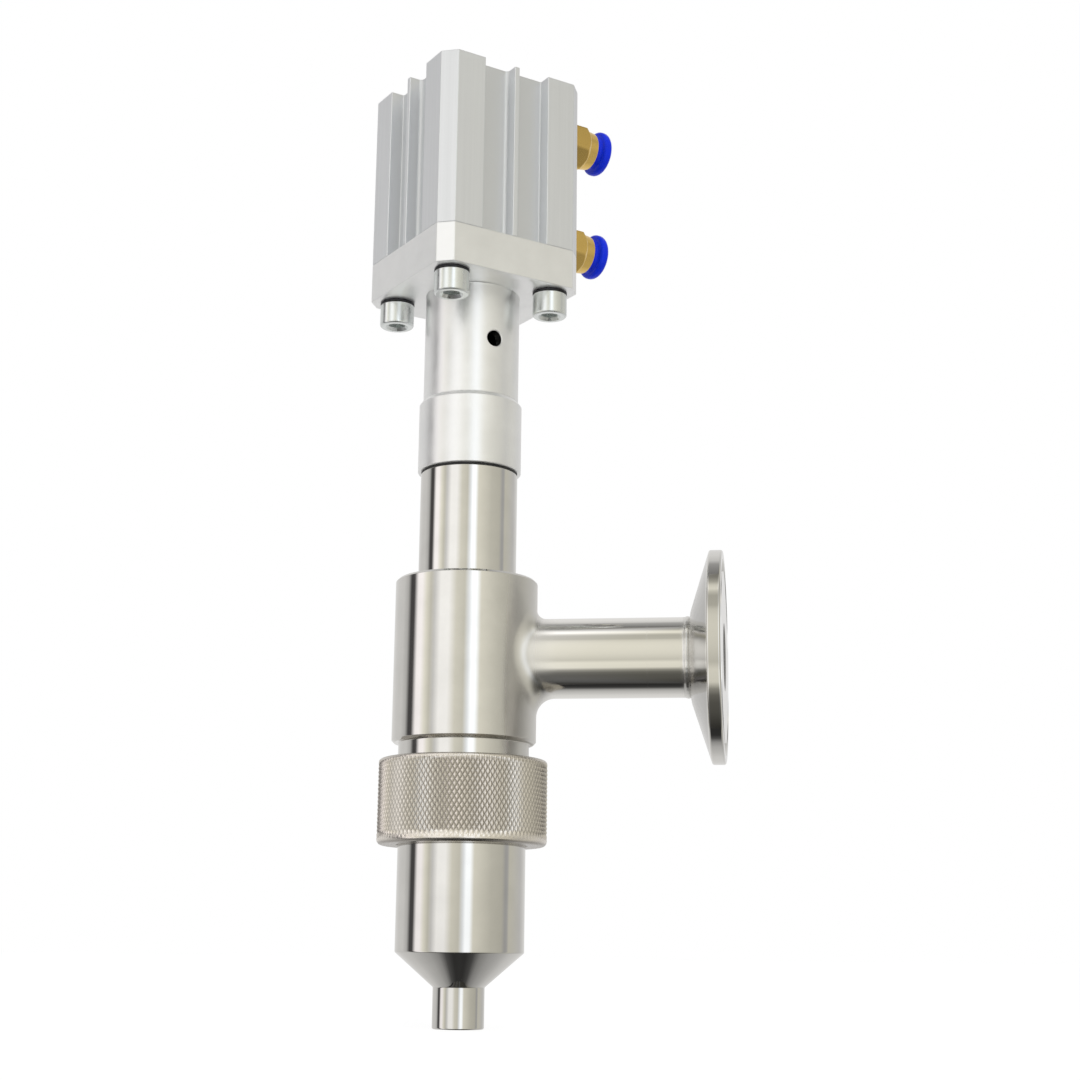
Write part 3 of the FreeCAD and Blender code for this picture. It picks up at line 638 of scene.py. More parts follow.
def anodised_aluminium(colours):
    """Matt anodised extrusion: fine etched grain, faint die lines that run along the axis, and painted shade
    that darkens the grooves.
    """
    finish = Finish("anodised_aluminium")
    grain = finish.noise(finish.place(), 5200.0, 3.0, 0.7)
    lines = finish.noise(finish.place((1, 1, 0.012)), 1600.0, 2.0, 0.6)
    cloud = finish.noise(finish.place((1, 1, 0.4)), 60.0, 2.0)
    dull, lit, clouded, groove_shade = (shade(colours.extrusion, factor) for factor in EXTRUSION_TONES)
    tone = finish.blend(finish.between(lines, 0.0, 1.0), dull, lit)
    tone = finish.blend(finish.between(cloud, 0.0, 0.3), tone, clouded)
    # Painted shade: the colour darkens towards the floors of the grooves
    square = finish.split(finish.place(turn=-BOX_TURN))
    outward = finish.reckon("MAXIMUM", *(finish.reckon("ABSOLUTE", square[k]) for k in range(2)))
    groove_shade_share = finish.between(outward, 1.0, 0.0, (BOX_HALF - GROOVE_DEPTH) * MM, (BOX_HALF - 0.6) * MM)
    tone = finish.blend(groove_shade_share, tone, groove_shade)
    normal = finish.bump(grain, 0.12, 0.02 * MM)
    finish.surface(Base_Color=tone, Metallic=0.76, Roughness=finish.between(grain, 0.36, 0.46),
                   Normal=finish.bump(lines, 0.05, 0.02 * MM, normal))
    return finish.material


def brushed_branch_light_and_shade(finish, colour, tone, worn):
    """Brush a metal round the branch's welds, paint light on it from the tee to the pipe as a lighter copy of
    the steel, and paint shade on the ferrule's conical back. Returns its tone and its roughness."""
    reach = finish.split(finish.place())[0]
    stops = [(place / BRUSHED_REACH, (share,) * 3) for place, share in BRUSHED]
    share = finish.ramp(stops, finish.between(reach, 0.0, 1.0, 0.0, BRUSHED_REACH * MM))
    worn = finish.reckon("ADD", worn, finish.reckon("MULTIPLY", share, BRUSHED_ROUGH))
    # Painted light: the pipe and the ferrule become a lighter copy of the steel; painted shade darkens the
    # ferrule's conical back
    pipe, back, rim = (finish.between(reach, *ends, start * MM, end * MM)
                       for ends, start, end in BRANCH_LIGHT_AND_SHADE)
    tone = finish.blend(pipe, tone, shade(colour, BRANCH_PAINTED_LIFT))
    return finish.blend(finish.reckon("MINIMUM", back, rim), tone, shade(colour, BRANCH_CONE_SHADE)), worn


def branch_bore(finish, colour, tone, worn, metal):
    """Inside the branch's bore, painted shade: the colour halved, and a dull, less metallic surface that the
    studio's light reaches. Returns the tone, the roughness and the share of metal."""
    axis = (0, 0, -(high_of("inlet_ferrule") + low_of("inlet_ferrule")) / 2 * MM)
    reach = finish.length(finish.place((0, 1, 1), shift=axis))
    outside = finish.between(reach, 0.0, 1.0, (PIPE_BORE_R + 0.05) * MM, (PIPE_BORE_R + 0.25) * MM)
    worn = finish.add("ShaderNodeMix", {"data_type": "FLOAT"}, Factor=outside, A=BRANCH_BORE_ROUGH, B=worn)
    # Painted shade: inside the bore the colour is halved
    return (finish.blend(outside, shade(colour, BRANCH_BORE_SHADE), tone), worn.outputs[0],
            finish.between(outside, BRANCH_BORE_METAL, metal, 0.0, 1.0))


def turned_metal(name, colour, rough, along, lines, depth, turn=0.0, spread=0.08, satin=False, metal=1.0,
                 bore=None):
    """Metal turned on a lathe: tool lines that change only along the turning axis, with faint haze. A satin
    metal is brushed as the branch is, and takes the branch's painted light and shade. bore names the radius
    within which an upright metal gets painted shade, nearly black, or asks for the branch's own bore with its
    painted shade."""
    finish = Finish(name)
    stretch = (1.0, 0.02, 0.02) if along == "X" else (0.02, 0.02, 1.0)
    marks = finish.noise(finish.place(stretch, turn), lines, 3.0, 0.65)
    haze = finish.noise(finish.place(), 130.0, 3.0)
    tone = finish.blend(finish.between(haze, 0.0, 1.0), shade(colour, 0.95), shade(colour, 1.03))
    worn = finish.between(haze, max(0.02, rough - spread / 2), rough + spread / 2)
    if satin:
        tone, worn = brushed_branch_light_and_shade(finish, colour, tone, worn)
    if bore and along == "X":
        tone, worn, metal = branch_bore(finish, colour, tone, worn, metal)
    elif bore:
        # Painted shade: inside the bore's radius the colour falls to 5 percent, nearly black
        reach = finish.length(finish.place((1, 1, 0)))
        outside = finish.between(reach, 0.0, 1.0, (bore - 0.5) * MM, (bore - 0.15) * MM)
        tone = finish.blend(outside, shade(colour, 0.05), tone)
    finish.surface(Base_Color=tone, Metallic=metal, Roughness=worn,
                   Normal=finish.bump(marks, depth, 0.01 * MM))
    return finish.material


def knurled_stainless(colours):
    """Knurled steel: crests lighter as worn polish and painted highlight, and painted shade in the grooves
    where the light and polish do not reach.
    """
    finish = Finish("knurled_stainless")
    reach = finish.length(finish.place((1, 1, 0)))
    crest = finish.between(reach, 0.0, 1.0, (NUT_R - KNURL_DARK) * MM, (NUT_R - KNURL_BRIGHT) * MM)
    grain = finish.noise(finish.place(), 2400.0, 3.0)
    warm = tuple(part * share for part, share in zip(colours.steel, KNURL_TINT))
    # Painted shade in the grooves; the crests are lighter as worn polish and painted highlight
    tone = finish.blend(crest, shade(warm, KNURL_GROOVE_SHADE), shade(warm, KNURL_CREST_TONE))
    finish.surface(Base_Color=tone, Metallic=1.0, Roughness=finish.between(grain, 0.20, 0.34),
                   Normal=finish.bump(grain, 0.15, 0.01 * MM))
    return finish.material


def dull_polymer(name, colour, rough, grain_depth=0.2, gloss=0.5):
    """Moulded or machined polymer with a fine surface grain."""
    finish = Finish(name)
    grain = finish.noise(finish.place(), 3000.0, 3.0)
    cloud = finish.noise(finish.place(), 240.0, 2.0)
    tone = finish.blend(finish.between(cloud, 0.0, 1.0), shade(colour, 0.9), shade(colour, 1.06))
    finish.surface(Base_Color=tone, Roughness=finish.between(grain, rough - 0.05, rough + 0.05),
                   Specular_IOR_Level=gloss, Normal=finish.bump(grain, grain_depth, 0.01 * MM))
    return finish.material


def make_finishes():
    """Every finish of the nozzle by its slot's name."""
    colours = bpy.context.scene.nozzle_colours
    steel, turned = tuple(colours.steel), tuple(colours.turned)
    sleeve = (turned, 0.35, "Z", 1500.0, 0.10)
    metals = {
        "turned_aluminium": (sleeve, {"metal": 0.84}),
        "aluminium_painted_bore_shade": (sleeve, {"metal": 0.84, "bore": SLEEVE_R}),
        "polished_stainless": ((steel, 0.035, "Z", 900.0, 0.012), {"spread": 0.02}),
        "polished_pipe": ((steel, 0.028, "X", 900.0, 0.008), {"spread": 0.016, "satin": True,
                                                              "bore": PIPE_BORE_R}),
        "polished_ferrule": ((shade(steel, FERRULE_SHADE), 0.04, "X", 900.0, 0.004),
                             {"spread": 0.016, "satin": True, "bore": PIPE_BORE_R}),
        "satin_stainless": ((steel, 0.06, "Z", 900.0, 0.02), {"spread": 0.02, "satin": True}),
        "zinc_steel": ((ZINC, 0.26, "Z", 1500.0, 0.05), {}),
        "dark_steel": ((DARK_STEEL, 0.36, "Z", 3000.0, 0.2), {}),
        "hard_chrome": ((CHROME, 0.08, "Z", 1500.0, 0.05), {}),
        "brass": ((tuple(colours.brass), 0.24, "X", 1500.0, 0.10), {"turn": -BOX_TURN}),
    }
    polymers = {
        "blue_plastic": (tuple(colours.blue), 0.30, 0.05, 0.22),
        "black_rubber": (BLACK_RUBBER, 0.55, 0.4),
        "white_plastic": (WHITE_PLASTIC, 0.42),
    }
    finishes = {name: turned_metal(name, *values, **more) for name, (values, more) in metals.items()}
    finishes.update({name: dull_polymer(name, *values) for name, values in polymers.items()})
    finishes["anodised_aluminium"] = anodised_aluminium(colours)
    finishes["knurled_stainless"] = knurled_stainless(colours)
    return finishes


def finish_of(node):
    """The finish of a node, made once; a branch piece gets tool lines along its own axis."""
    if not FINISHES:
        FINISHES.update(make_finishes())
    return FINISHES[OWN_FINISH.get(node, SLOT_OF[node])]


def sizes():
    """The sizes in use, in the scene's settings."""
    return bpy.context.scene.nozzle_sizes


def helix(theta, z, start, end):
    """Thread relief, from 0 at the crest to -1 at the root: a triangle wave of (z/pitch - t/2 pi), flattened
    at its crests, that fades out at both ends."""
    pitch = sizes().thread_pitch / MM
    wave = np.clip(1.5 * triangle_wave(z / pitch - theta / (2 * math.pi)) - 0.2, 0, 1)
    fade = np.clip((z - start) / THREAD_FADE, 0, 1) * np.clip((end - z) / THREAD_FADE, 0, 1)
    return -(1 - wave) * fade


def outlet_barrel():
    """Spout, cone, barrel and collar, as one turned ring with a polished bore."""
    edge = sizes().soft_edge / MM
    top = high_of("outlet_barrel")
    collar = top - COLLAR_HEIGHT
    bore_cone = SEAT_HEIGHT + (FLOW_BORE_R - SPOUT_BORE_R) * CONE_SLOPE
    turned_piece("barrel_skin", "outlet_barrel", [
        (SPOUT_BORE_R, 0, 0.2), (SPOUT_R, 0, 0.45), (SPOUT_R, SPOUT_LENGTH, 0.35),
        (BARREL_R, SPOUT_LENGTH + CONE_HEIGHT, 0.45), (BARREL_R, collar, 0.15), (COLLAR_R, collar, edge),
        (COLLAR_R, top, edge), (FLOW_BORE_R, top, edge), (FLOW_BORE_R, bore_cone, 0.4),
        (SPOUT_BORE_R, SEAT_HEIGHT, 0.3)], 160)


def union_nut():
    """Hand nut. The knurl's height is the smaller distance to two crossing families of grooves,
    a = n t/2 pi + z/h and b = n t/2 pi - z/h, and rows and columns are spaced so that every groove runs
    through grid points."""
    size = sizes()
    height = size.knurl_height / MM
    low, high = low_of("union_nut"), high_of("union_nut")
    bore, mouth = THREAD_R + THREAD_GAP, NUT_MOUTH
    theta = around(size.knurl_count * KNURL_CELLS)
    step = height / KNURL_CELLS
    rows = int((high - low - NUT_EDGE - NUT_FOOT_EDGE) / step)
    first = (low + NUT_FOOT_EDGE + high - NUT_EDGE - rows * step) / 2
    side = np.stack([np.full(rows + 1, NUT_R), first + step * np.arange(rows + 1)], -1)
    lower = rounded([(NUT_LIP_R, low + NUT_LIP), (NUT_LIP_R, low, 0.4), (NUT_R, low, NUT_FOOT_EDGE),
                     (NUT_R, first + 0.3)], step=8.0)
    upper = rounded([(NUT_R, first + rows * step - 0.3), (NUT_R, high, NUT_EDGE), (bore + mouth, high, 0.15),
                     (bore, high - mouth)])
    thread = np.arange(high - 1.0, low + NUT_LIP + 0.3, -0.5)
    inner = np.stack([np.full(len(thread), bore), thread], -1)
    profile = np.concatenate([lower[:-1], side, upper[1:], inner, [(bore, low + NUT_LIP)]])
    r, z = profile[:, 0, None], profile[:, 1, None]
    outside = (r > NUT_R - NUT_EDGE) & (z > low + KNURL_MARGIN) & (z < high - KNURL_MARGIN)
    inside = (r < bore + 0.01) & (z < high - mouth)
    a = np.mod(size.knurl_count * theta / (2 * math.pi) + (z - first) / height, 1.0)
    b = np.mod(size.knurl_count * theta / (2 * math.pi) - (z - first) / height, 1.0)
    rise = np.minimum(np.minimum(a, 1 - a), np.minimum(b, 1 - b)) * 2
    fade = np.clip((z - low - KNURL_START) / KNURL_FADE, 0, 1) * np.clip(high - KNURL_MARGIN - z, 0, 1)
    relief = -size.knurl_depth / MM * np.clip(1 - rise / KNURL_GROOVE_SHARE, 0, 1) * fade * outside
    relief = relief - size.thread_depth / MM * helix(theta, z, low + NUT_LIP, high - mouth) * inside
    skin = Skin()
    index = skin.add(swept(profile, theta, relief))
    split_by_height(skin, np.concatenate([index, index[:1]]), np.concatenate([relief, relief[:1]]))
    make_piece("nut_skin", skin, "union_nut", sharp=30.0)


def split_by_height(skin, index, relief):
    """Triangles of a grid that wraps round, each quad cut along the diagonal that joins its lower corners."""
    right, lift = np.roll(index, -1, axis=1), np.roll(relief, -1, axis=1)
    a, b, c, d = index[:-1], right[:-1], right[1:], index[1:]
    falling = (relief[:-1] + lift[1:] <= lift[:-1] + relief[1:])[..., None]
    first = np.where(falling, np.stack([a, b, c], -1), np.stack([a, b, d], -1))
    second = np.where(falling, np.stack([a, c, d], -1), np.stack([b, c, d], -1))
    skin.triangles.append(first.reshape(-1, 3))
    skin.triangles.append(second.reshape(-1, 3))


def port_edge(loop_points, port_turn, port_z, wall_r, port_r):
    """Where a round port of radius r meets a cylinder of radius R: for the angle f of each point of a loop
    round the port, (sqrt(R2 - (r cos f)2), r cos f, z + r sin f), turned to the port's side."""
    spin = math.radians(port_turn)
    x = loop_points[:, 0] * math.cos(spin) + loop_points[:, 1] * math.sin(spin)
    y = loop_points[:, 1] * math.cos(spin) - loop_points[:, 0] * math.sin(spin)
    angle = np.arctan2(loop_points[:, 2] - port_z, np.arctan2(y, x) * np.hypot(x, y))
    side = port_r * np.cos(angle)
    depth = np.sqrt(wall_r ** 2 - side ** 2)
    return angle, back_to_side(np.stack([depth, side, port_z + port_r * np.sin(angle)], -1), spin)


def back_to_side(points, spin):
    """Turn points about Z by an angle in radians."""
    x = points[..., 0] * math.cos(spin) - points[..., 1] * math.sin(spin)
    y = points[..., 0] * math.sin(spin) + points[..., 1] * math.cos(spin)
    return np.stack([x, y, points[..., 2]], -1)


def ease_on_cylinder(start, end, steps, radius):
    """Rows between two loops that lie on a cylinder, kept on it by scaling back to its radius."""
    share = np.linspace(0, 1, steps + 1)[1:, None, None]
    rows = start[None] * (1 - share) + end[None] * share
    scale = radius / np.hypot(rows[..., 0], rows[..., 1])
    rows[..., 0] *= scale
    rows[..., 1] *= scale
    return rows


def saddle_fillet(angle, port_z, wall_r, port_r, fillet, steps=12):
    """Fillet rolled between a cylinder of radius R and a branch of radius r. The ball of radius f, which may
    change with the angle a, has its centre at (sqrt((R+f)2 - y2), y, z) with y = (r+f) cos a and
    z = (r+f) sin a; each row turns its contact point from the cylinder's side to the branch's."""
    y = (port_r + fillet) * np.cos(angle)
    z = (port_r + fillet) * np.sin(angle)
    x = np.sqrt((wall_r + fillet) ** 2 - y ** 2)
    centre = np.stack([x, y, z], -1)
    to_wall = -np.stack([x, y, 0 * x], -1) / (wall_r + fillet)[:, None]
    to_port = -np.stack([0 * x, np.cos(angle), np.sin(angle)], -1)
    span = np.arccos(np.clip((to_wall * to_port).sum(-1), -1, 1))
    share = np.linspace(0, 1, steps + 1)[:, None]
    near = np.sin((1 - share) * span) / np.sin(span)
    far = np.sin(share * span) / np.sin(span)
    turned = near[..., None] * to_wall[None] + far[..., None] * to_port[None]
    rows = centre[None] + fillet[:, None] * turned
    rows[..., 2] += port_z
    return rows


def open_ports(skin, index, profile, theta, middle, turn, openings):
    """Weave a turned grid that one port goes through, with an opening in each of its walls, given as
    (radius, half height, half turn). Returns the numbers round each opening, counted upwards in height."""
    r, z = profile[:, 0], profile[:, 1]
    away = np.abs((np.degrees(theta) - turn + 180) % 360 - 180)
    keep = np.ones((len(index) - 1, len(theta)), bool)
    loops = []
    for radius, half_height, half_turn in openings:
        rows = np.flatnonzero((np.abs(z - middle) < half_height + NEAR) & (np.abs(r - radius) < NEAR))
        columns = np.flatnonzero(away < half_turn + NEAR)
        ends = sorted((rows[0], rows[-1]), key=lambda row: z[row])
        keep[rows[0]:rows[-1], columns[0]:columns[-1]] = False
        loops.append(ring_of(index, *ends, columns[0], columns[-1]))
    skin.weave(index, keep=keep)
    return loops


def wall_rows(radius, middle, half_height, count):
    """Evenly spaced profile points up a straight wall on both sides of a port."""
    return [(radius, z) for z in middle + np.linspace(-half_height, half_height, count)]


def tee_body():
    """Tee: turned shell with its union thread, and the branch blended into it by a rolled fillet."""
    edge = sizes().soft_edge / MM
    low, high = low_of("tee_body"), high_of("tee_body")
    shoulder = low + THREAD_LENGTH + NECK_RELIEF
    port_z = shoulder + BRANCH_RISE
    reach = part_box("inlet_pipe")[0][0] / MM
    theta = around(PORT_TURNS, -180)
    threaded = np.arange(low + 1.25, low + THREAD_LENGTH, 0.25)
    foot = rounded([(FLOW_BORE_R, low + 0.4), (FLOW_BORE_R, low, 0.2), (THREAD_R - 1, low, 0.1),
                    (THREAD_R, low + 1.0)])
    outer = rounded([(NECK_R, low + THREAD_LENGTH + 0.3), (NECK_R, shoulder, 0.3),
                     (TEE_R - TEE_EDGE, shoulder, 0.1), (TEE_R, shoulder + TEE_EDGE, 0.1),
                     (TEE_R, port_z - TEE_PORT_HALF - TEE_PORT_CLEAR)])
    roof = rounded([(TEE_R, port_z + TEE_PORT_HALF + TEE_PORT_CLEAR), (TEE_R, high - TEE_EDGE, 0.1),
                    (TEE_R - TEE_EDGE, high, 0.1), (SPIGOT_HOLE_R, high, edge),
                    (SPIGOT_HOLE_R, high - TEE_ROOF, 0.2), (FLOW_BORE_R, high - TEE_ROOF, 0.3),
                    (FLOW_BORE_R, port_z + TEE_BORE_HALF + 0.7)])
    profile = np.concatenate([
        foot, np.stack([np.full(len(threaded), THREAD_R), threaded], -1), outer,
        wall_rows(TEE_R, port_z, TEE_PORT_HALF, TEE_PORT_ROWS), roof,
        wall_rows(FLOW_BORE_R, port_z, TEE_BORE_HALF, TEE_PORT_ROWS)[::-1]])
    on_thread = np.abs(profile[:, 0, None] - THREAD_R) < NEAR
    relief = helix(theta, profile[:, 1, None], low + 0.6, low + THREAD_LENGTH) * on_thread
    skin = Skin()
    index = skin.add(swept(profile, theta, sizes().thread_depth / MM * relief))
    outer_loop, inner_loop = open_ports(
        skin, np.concatenate([index, index[:1]]), profile, theta, port_z, 0.0,
        [(TEE_R, TEE_PORT_HALF, TEE_PORT_TURN), (FLOW_BORE_R, TEE_BORE_HALF, TEE_PORT_TURN)])
    points = np.concatenate(skin.points)
    angle, _ = port_edge(points[outer_loop], 0.0, port_z, TEE_R, PIPE_R)
    blend = BRANCH_FILLET - BRANCH_FILLET_FALL * np.sin(angle)
    blend = blend + (BRANCH_FILLET_SIDE - blend) * np.cos(angle) ** 2
    fillet = saddle_fillet(angle, port_z, TEE_R, PIPE_R, blend)
    rows = ease_on_cylinder(points[outer_loop], fillet[0], 4, TEE_R)
    stub, mouth = (np.stack([np.full(len(angle), reach), r * np.cos(angle), port_z + r * np.sin(angle)], -1)
                   for r in (PIPE_R, PIPE_BORE_R))
    _, bore_edge = port_edge(points[inner_loop], 0.0, port_z, FLOW_BORE_R, PIPE_BORE_R)
    inner_rows = ease_on_cylinder(points[inner_loop], bore_edge, 2, FLOW_BORE_R)
    behind = [0.15, 0, 0]
    layers = np.concatenate([rows, fillet[1:], [fillet[-1] + [0.3, 0, 0], stub - behind, stub, mouth,
                                                mouth - behind], inner_rows[::-1]])
    skin.weave(np.concatenate([outer_loop[None], skin.add(layers), inner_loop[None]]))
    make_piece("tee_skin", skin, "tee_body", filled=True)


def ring_of(index, first, last, left, right):
    """Numbers round a rectangle of the grid, from its lower left corner, counted upwards in height."""
    up = 1 if last > first else -1
    side = np.arange(first, last, up)
    return np.concatenate([index[first, left:right], index[side, right],
                           index[last, right:left:-1], index[side[::-1] + up, left]])


def inlet_branch():
    """Straight pipe, and the clamp ferrule whose neck sweeps out to a conical back."""
    height = (high_of("inlet_ferrule") + low_of("inlet_ferrule")) / 2
    start, end = (corner[0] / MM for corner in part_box("inlet_pipe"))
    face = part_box("inlet_ferrule")[1][0] / MM
    pipe = rounded([(PIPE_BORE_R, start), (PIPE_R, start), (PIPE_R, end), (PIPE_BORE_R, end)], closed=True)
    make_piece("pipe_skin", turned_along(lathe(pipe, 128), height), "inlet_pipe")
    rim = face - FERRULE_RIM
    cone_start = rim - (FERRULE_R - FERRULE_NECK_R) * math.tan(math.radians(FERRULE_BACK_TURN))
    weld = end + np.linspace(0, WELD_WIDTH, 13)
    weld = np.stack([PIPE_R + WELD_HEIGHT * np.sin(np.pi * (weld - end) / WELD_WIDTH) ** 2, weld], -1)
    neck_low, neck_high = np.array([PIPE_R, end + WELD_WIDTH]), np.array([FERRULE_NECK_R, cone_start])
    knee = np.array([PIPE_R, cone_start - 0.4])
    share = np.linspace(0, 1, 9)[1:, None]
    neck = (1 - share) ** 2 * neck_low + 2 * share * (1 - share) * knee + share ** 2 * neck_high
    groove = np.radians(np.linspace(0, 180, 13))[1:-1]
    hollow = np.stack([GASKET_GROOVE_R + GASKET_GROOVE_DEPTH * np.cos(groove),
                       face - GASKET_GROOVE_DEPTH * np.sin(groove)], -1)
    back = rounded([neck_high, (FERRULE_R, rim, 0.5), (FERRULE_R, face, 0.5),
                    (GASKET_GROOVE_R + GASKET_GROOVE_DEPTH, face)])
    bore = rounded([(GASKET_GROOVE_R - GASKET_GROOVE_DEPTH, face), (PIPE_BORE_R, face, 0.3),
                    (PIPE_BORE_R, end)])
    profile = np.concatenate([weld, neck, back[1:], hollow, bore])
    rise = np.maximum(profile[:, 0, None] - PIPE_R, 0) * (profile[:, 1, None] < end + WELD_WIDTH)
    ripple = WELD_RIPPLE * rise * np.cos(WELD_RIPPLES * around(WELD_TURNS) + 9.0 * rise)
    make_piece("ferrule_skin", turned_along(lathe(profile, WELD_TURNS, ripple), height), "inlet_ferrule")


def upper_barrel():
    """Stainless tube above the tee, with the flat black seal on its shoulder."""
    edge = sizes().soft_edge / MM
    low, high = low_of("upper_barrel"), high_of("upper_barrel")
    foot, shoulder = high_of("tee_body"), low_of("coupling_seal")
    ledge, stem_hole = low + UPPER_FLOOR, STEM_R + 0.2
    turned_piece("upper_barrel_skin", "upper_barrel", [
        (stem_hole, low), (LOWER_SPIGOT_R, low, edge), (LOWER_SPIGOT_R, foot, 0.05), (UPPER_R, foot, 0.2),
        (UPPER_R, shoulder, 0.2), (JOINT_SPIGOT_R, shoulder, 0.1), (JOINT_SPIGOT_R, high, edge),
        (UPPER_BORE_R, high, edge), (UPPER_BORE_R, ledge, 0.2), (stem_hole, ledge, 0.1)], 144)
    top = high_of("coupling_seal")
    inner, outer = JOINT_SPIGOT_R + JOINT_GAP, UPPER_R - JOINT_GAP
    turned_piece("seal_skin", "coupling_seal",
                 [(inner, shoulder), (outer, shoulder, 0.1), (outer, top, 0.1), (inner, top)])


def coupling_ring():
    """Ring between the two tubes, chamfered down to the sleeve at its top."""
    low, high = low_of("coupling_ring"), high_of("coupling_ring")
    inner = JOINT_SPIGOT_R + JOINT_GAP
    turned_piece("ring_skin", "coupling_ring", [
        (inner, low), (RING_R, low, 0.3), (RING_R, high - RING_CHAMFER, 0.12), (SLEEVE_R, high, 0.05),
        (inner, high)], 144)


def four_sides(*sides):
    """Outline of the square from its four sides, each given as (x, y, radius) on the side of +X."""
    return [quarter((x, y), turn) + (radius,) for turn, side in enumerate(sides) for x, y, radius in side]


def plain_side():
    """A side of the square between its corners, which are cut at 45 degrees."""
    cut = BOX_HALF - BOX_CHAMFER
    return [(BOX_HALF, -cut, BOX_EDGE), (BOX_HALF, cut, BOX_EDGE)]


def quarter(point, turns):
    """A point turned by a number of right angles."""
    x, y = point
    for _ in range(turns):
        x, y = -y, x
    return (x, y)


def grooved_outline():
    """The square with two long grooves in three of its faces; the face with the ports stays plain."""
    edge = 0.22
    floor = BOX_HALF - GROOVE_DEPTH
    start, end = plain_side()
    side = [start, (BOX_HALF, -GROOVE_OUT, edge), (floor, -GROOVE_OUT, 0.4), (floor, -GROOVE_IN, 1.0),
            (BOX_HALF, -GROOVE_IN, edge), (BOX_HALF, GROOVE_IN, edge), (floor, GROOVE_IN, 1.0),
            (floor, GROOVE_OUT, 0.4), (BOX_HALF, GROOVE_OUT, edge), end]
    return four_sides(plain_side(), side, side, side)


def inset(outline, distance):
    """A closed outline moved inwards along its own normals."""
    ahead = np.roll(outline, -1, axis=0) - outline
    behind = outline - np.roll(outline, 1, axis=0)
    ahead /= np.linalg.norm(ahead, axis=1)[:, None]
    behind /= np.linalg.norm(behind, axis=1)[:, None]
    along = ahead + behind
    along /= np.linalg.norm(along, axis=1)[:, None]
    return outline - distance * np.stack([along[:, 1], -along[:, 0]], -1)


def walls(skin, outline, low, high, edge, face=None):
    """Walls that carry a closed outline from one height to another, with a small chamfer at both ends. The
    face that starts at a numbered point of the outline stays open for its ports.
    Returns the rows of numbers at the bottom and at the top, and the corners of that face."""
    levels = [(edge, low), (0.25 * edge, low + 0.3 * edge), (0, low + edge), (0, low + 2 * edge),
              (0, high - 2 * edge), (0, high - edge), (0.25 * edge, high - 0.3 * edge), (edge, high)]
    rows = []
    for back, z in levels:
        flat = inset(outline, back) if back else outline
        rows.append(np.column_stack([flat, np.full(len(flat), z)]))
    index = skin.add(np.array(rows))
    keep = np.ones((len(levels) - 1, len(outline)), bool)
    opening = None
    if face is not None:
        keep[3, face] = False
        opening = np.array([index[3, face], index[3, face + 1], index[4, face + 1], index[4, face]])
    skin.weave(index, keep=keep)
    return index[0], index[-1], opening


def port(skin, height, rows, turns=64):
    """Wall of a round port along X at a height, from (radius, x) rows, closed by a fan at its last row.
    Returns its first row of numbers."""
    index = skin.add(swept(np.array(rows), around(turns))[..., [2, 0, 1]] + [0, 0, height])
    skin.weave(index)
    skin.fan(index[-1], (rows[-1][1], 0, height))
    return index[0]


def hole(skin, centre, profile, turns=32):
    """Wall of a round hole about a centre, from (radius, height) rows. Returns its first and last rows."""
    index = skin.add(swept(np.array(profile), around(turns)) + [*centre, 0])
    skin.weave(index)
    return index[0], index[-1]


def corner_holes(skin, profile):
    """The four corner holes. Returns their first rows and their last rows."""
    return map(list, zip(*(hole(skin, centre, profile) for centre in screw_places())))


def screw_places():
    """Centres of the four corner screws, square to the cylinder."""
    return [quarter((SCREW_REACH, SCREW_REACH), turn) for turn in range(4)]


def spin_skin(skin, degrees):
    """Turn a skin about Z."""
    skin.points = [back_to_side(points, math.radians(degrees)) for points in skin.points]
    return skin


def cylinder_body():
    """Grooved extrusion: carried outline, end faces with the bore and the tapped corner holes, and the plain
    face with its two air ports, the front one in a round spot face."""
    low, high = low_of("cylinder_body"), high_of("cylinder_body")
    skin = Skin()
    outline = rounded(grooved_outline(), closed=True, support=0.08)
    steps = np.roll(outline, -1, axis=0) - outline
    face = int(np.argmax(np.abs(steps[:, 1]) * (np.abs(outline[:, 0] - BOX_HALF) < NEAR)))
    bottom, top, opening = walls(skin, outline, low, high, CYLINDER_EDGE, face)
    well = BOX_HALF - PORT_DEPTH
    seat = BOX_HALF - FRONT_PORT_SINK
    rear_port = port(skin, high - PORT_FROM_REAR,
                     [(PORT_R + BORE_EDGE, BOX_HALF), (PORT_R, BOX_HALF - BORE_EDGE), (PORT_R, well)])
    front_port = port(skin, low + PORT_FROM_FRONT, [
        (FRONT_PORT_SINK_R, BOX_HALF), (FRONT_PORT_SINK_R, seat + 0.1), (FRONT_PORT_SINK_R - 0.1, seat),
        (PORT_R + BORE_EDGE, seat), (PORT_R, seat - BORE_EDGE), (PORT_R, well)])
    skin.fill([opening, rear_port, front_port])
    bottoms, tops = corner_holes(skin, [(TAPPED_R + 0.4, low), (TAPPED_R, low + 0.4), (TAPPED_R, high - 0.5),
                                        (TAPPED_R + 0.5, high)])
    groove = CYLINDER_BORE_R + CIRCLIP_DEPTH
    bore = [(CYLINDER_BORE_R + BORE_EDGE, low), (CYLINDER_BORE_R, low + BORE_EDGE)]
    for start in (low + CIRCLIP_SET_BACK, high - CIRCLIP_SET_BACK - CIRCLIP_THICKNESS):
        end = start + CIRCLIP_THICKNESS
        bore += [(CYLINDER_BORE_R, start), (groove, start), (groove, end), (CYLINDER_BORE_R, end)]
    bore += [(CYLINDER_BORE_R, high - BORE_EDGE), (CYLINDER_BORE_R + BORE_EDGE, high)]
    first, last = hole(skin, (0, 0), bore, 128)
    skin.fill([bottom] + bottoms + [first])
    skin.fill([top] + tops + [last])
    make_piece("cylinder_skin", spin_skin(skin, BOX_TURN), "cylinder_body", filled=True)


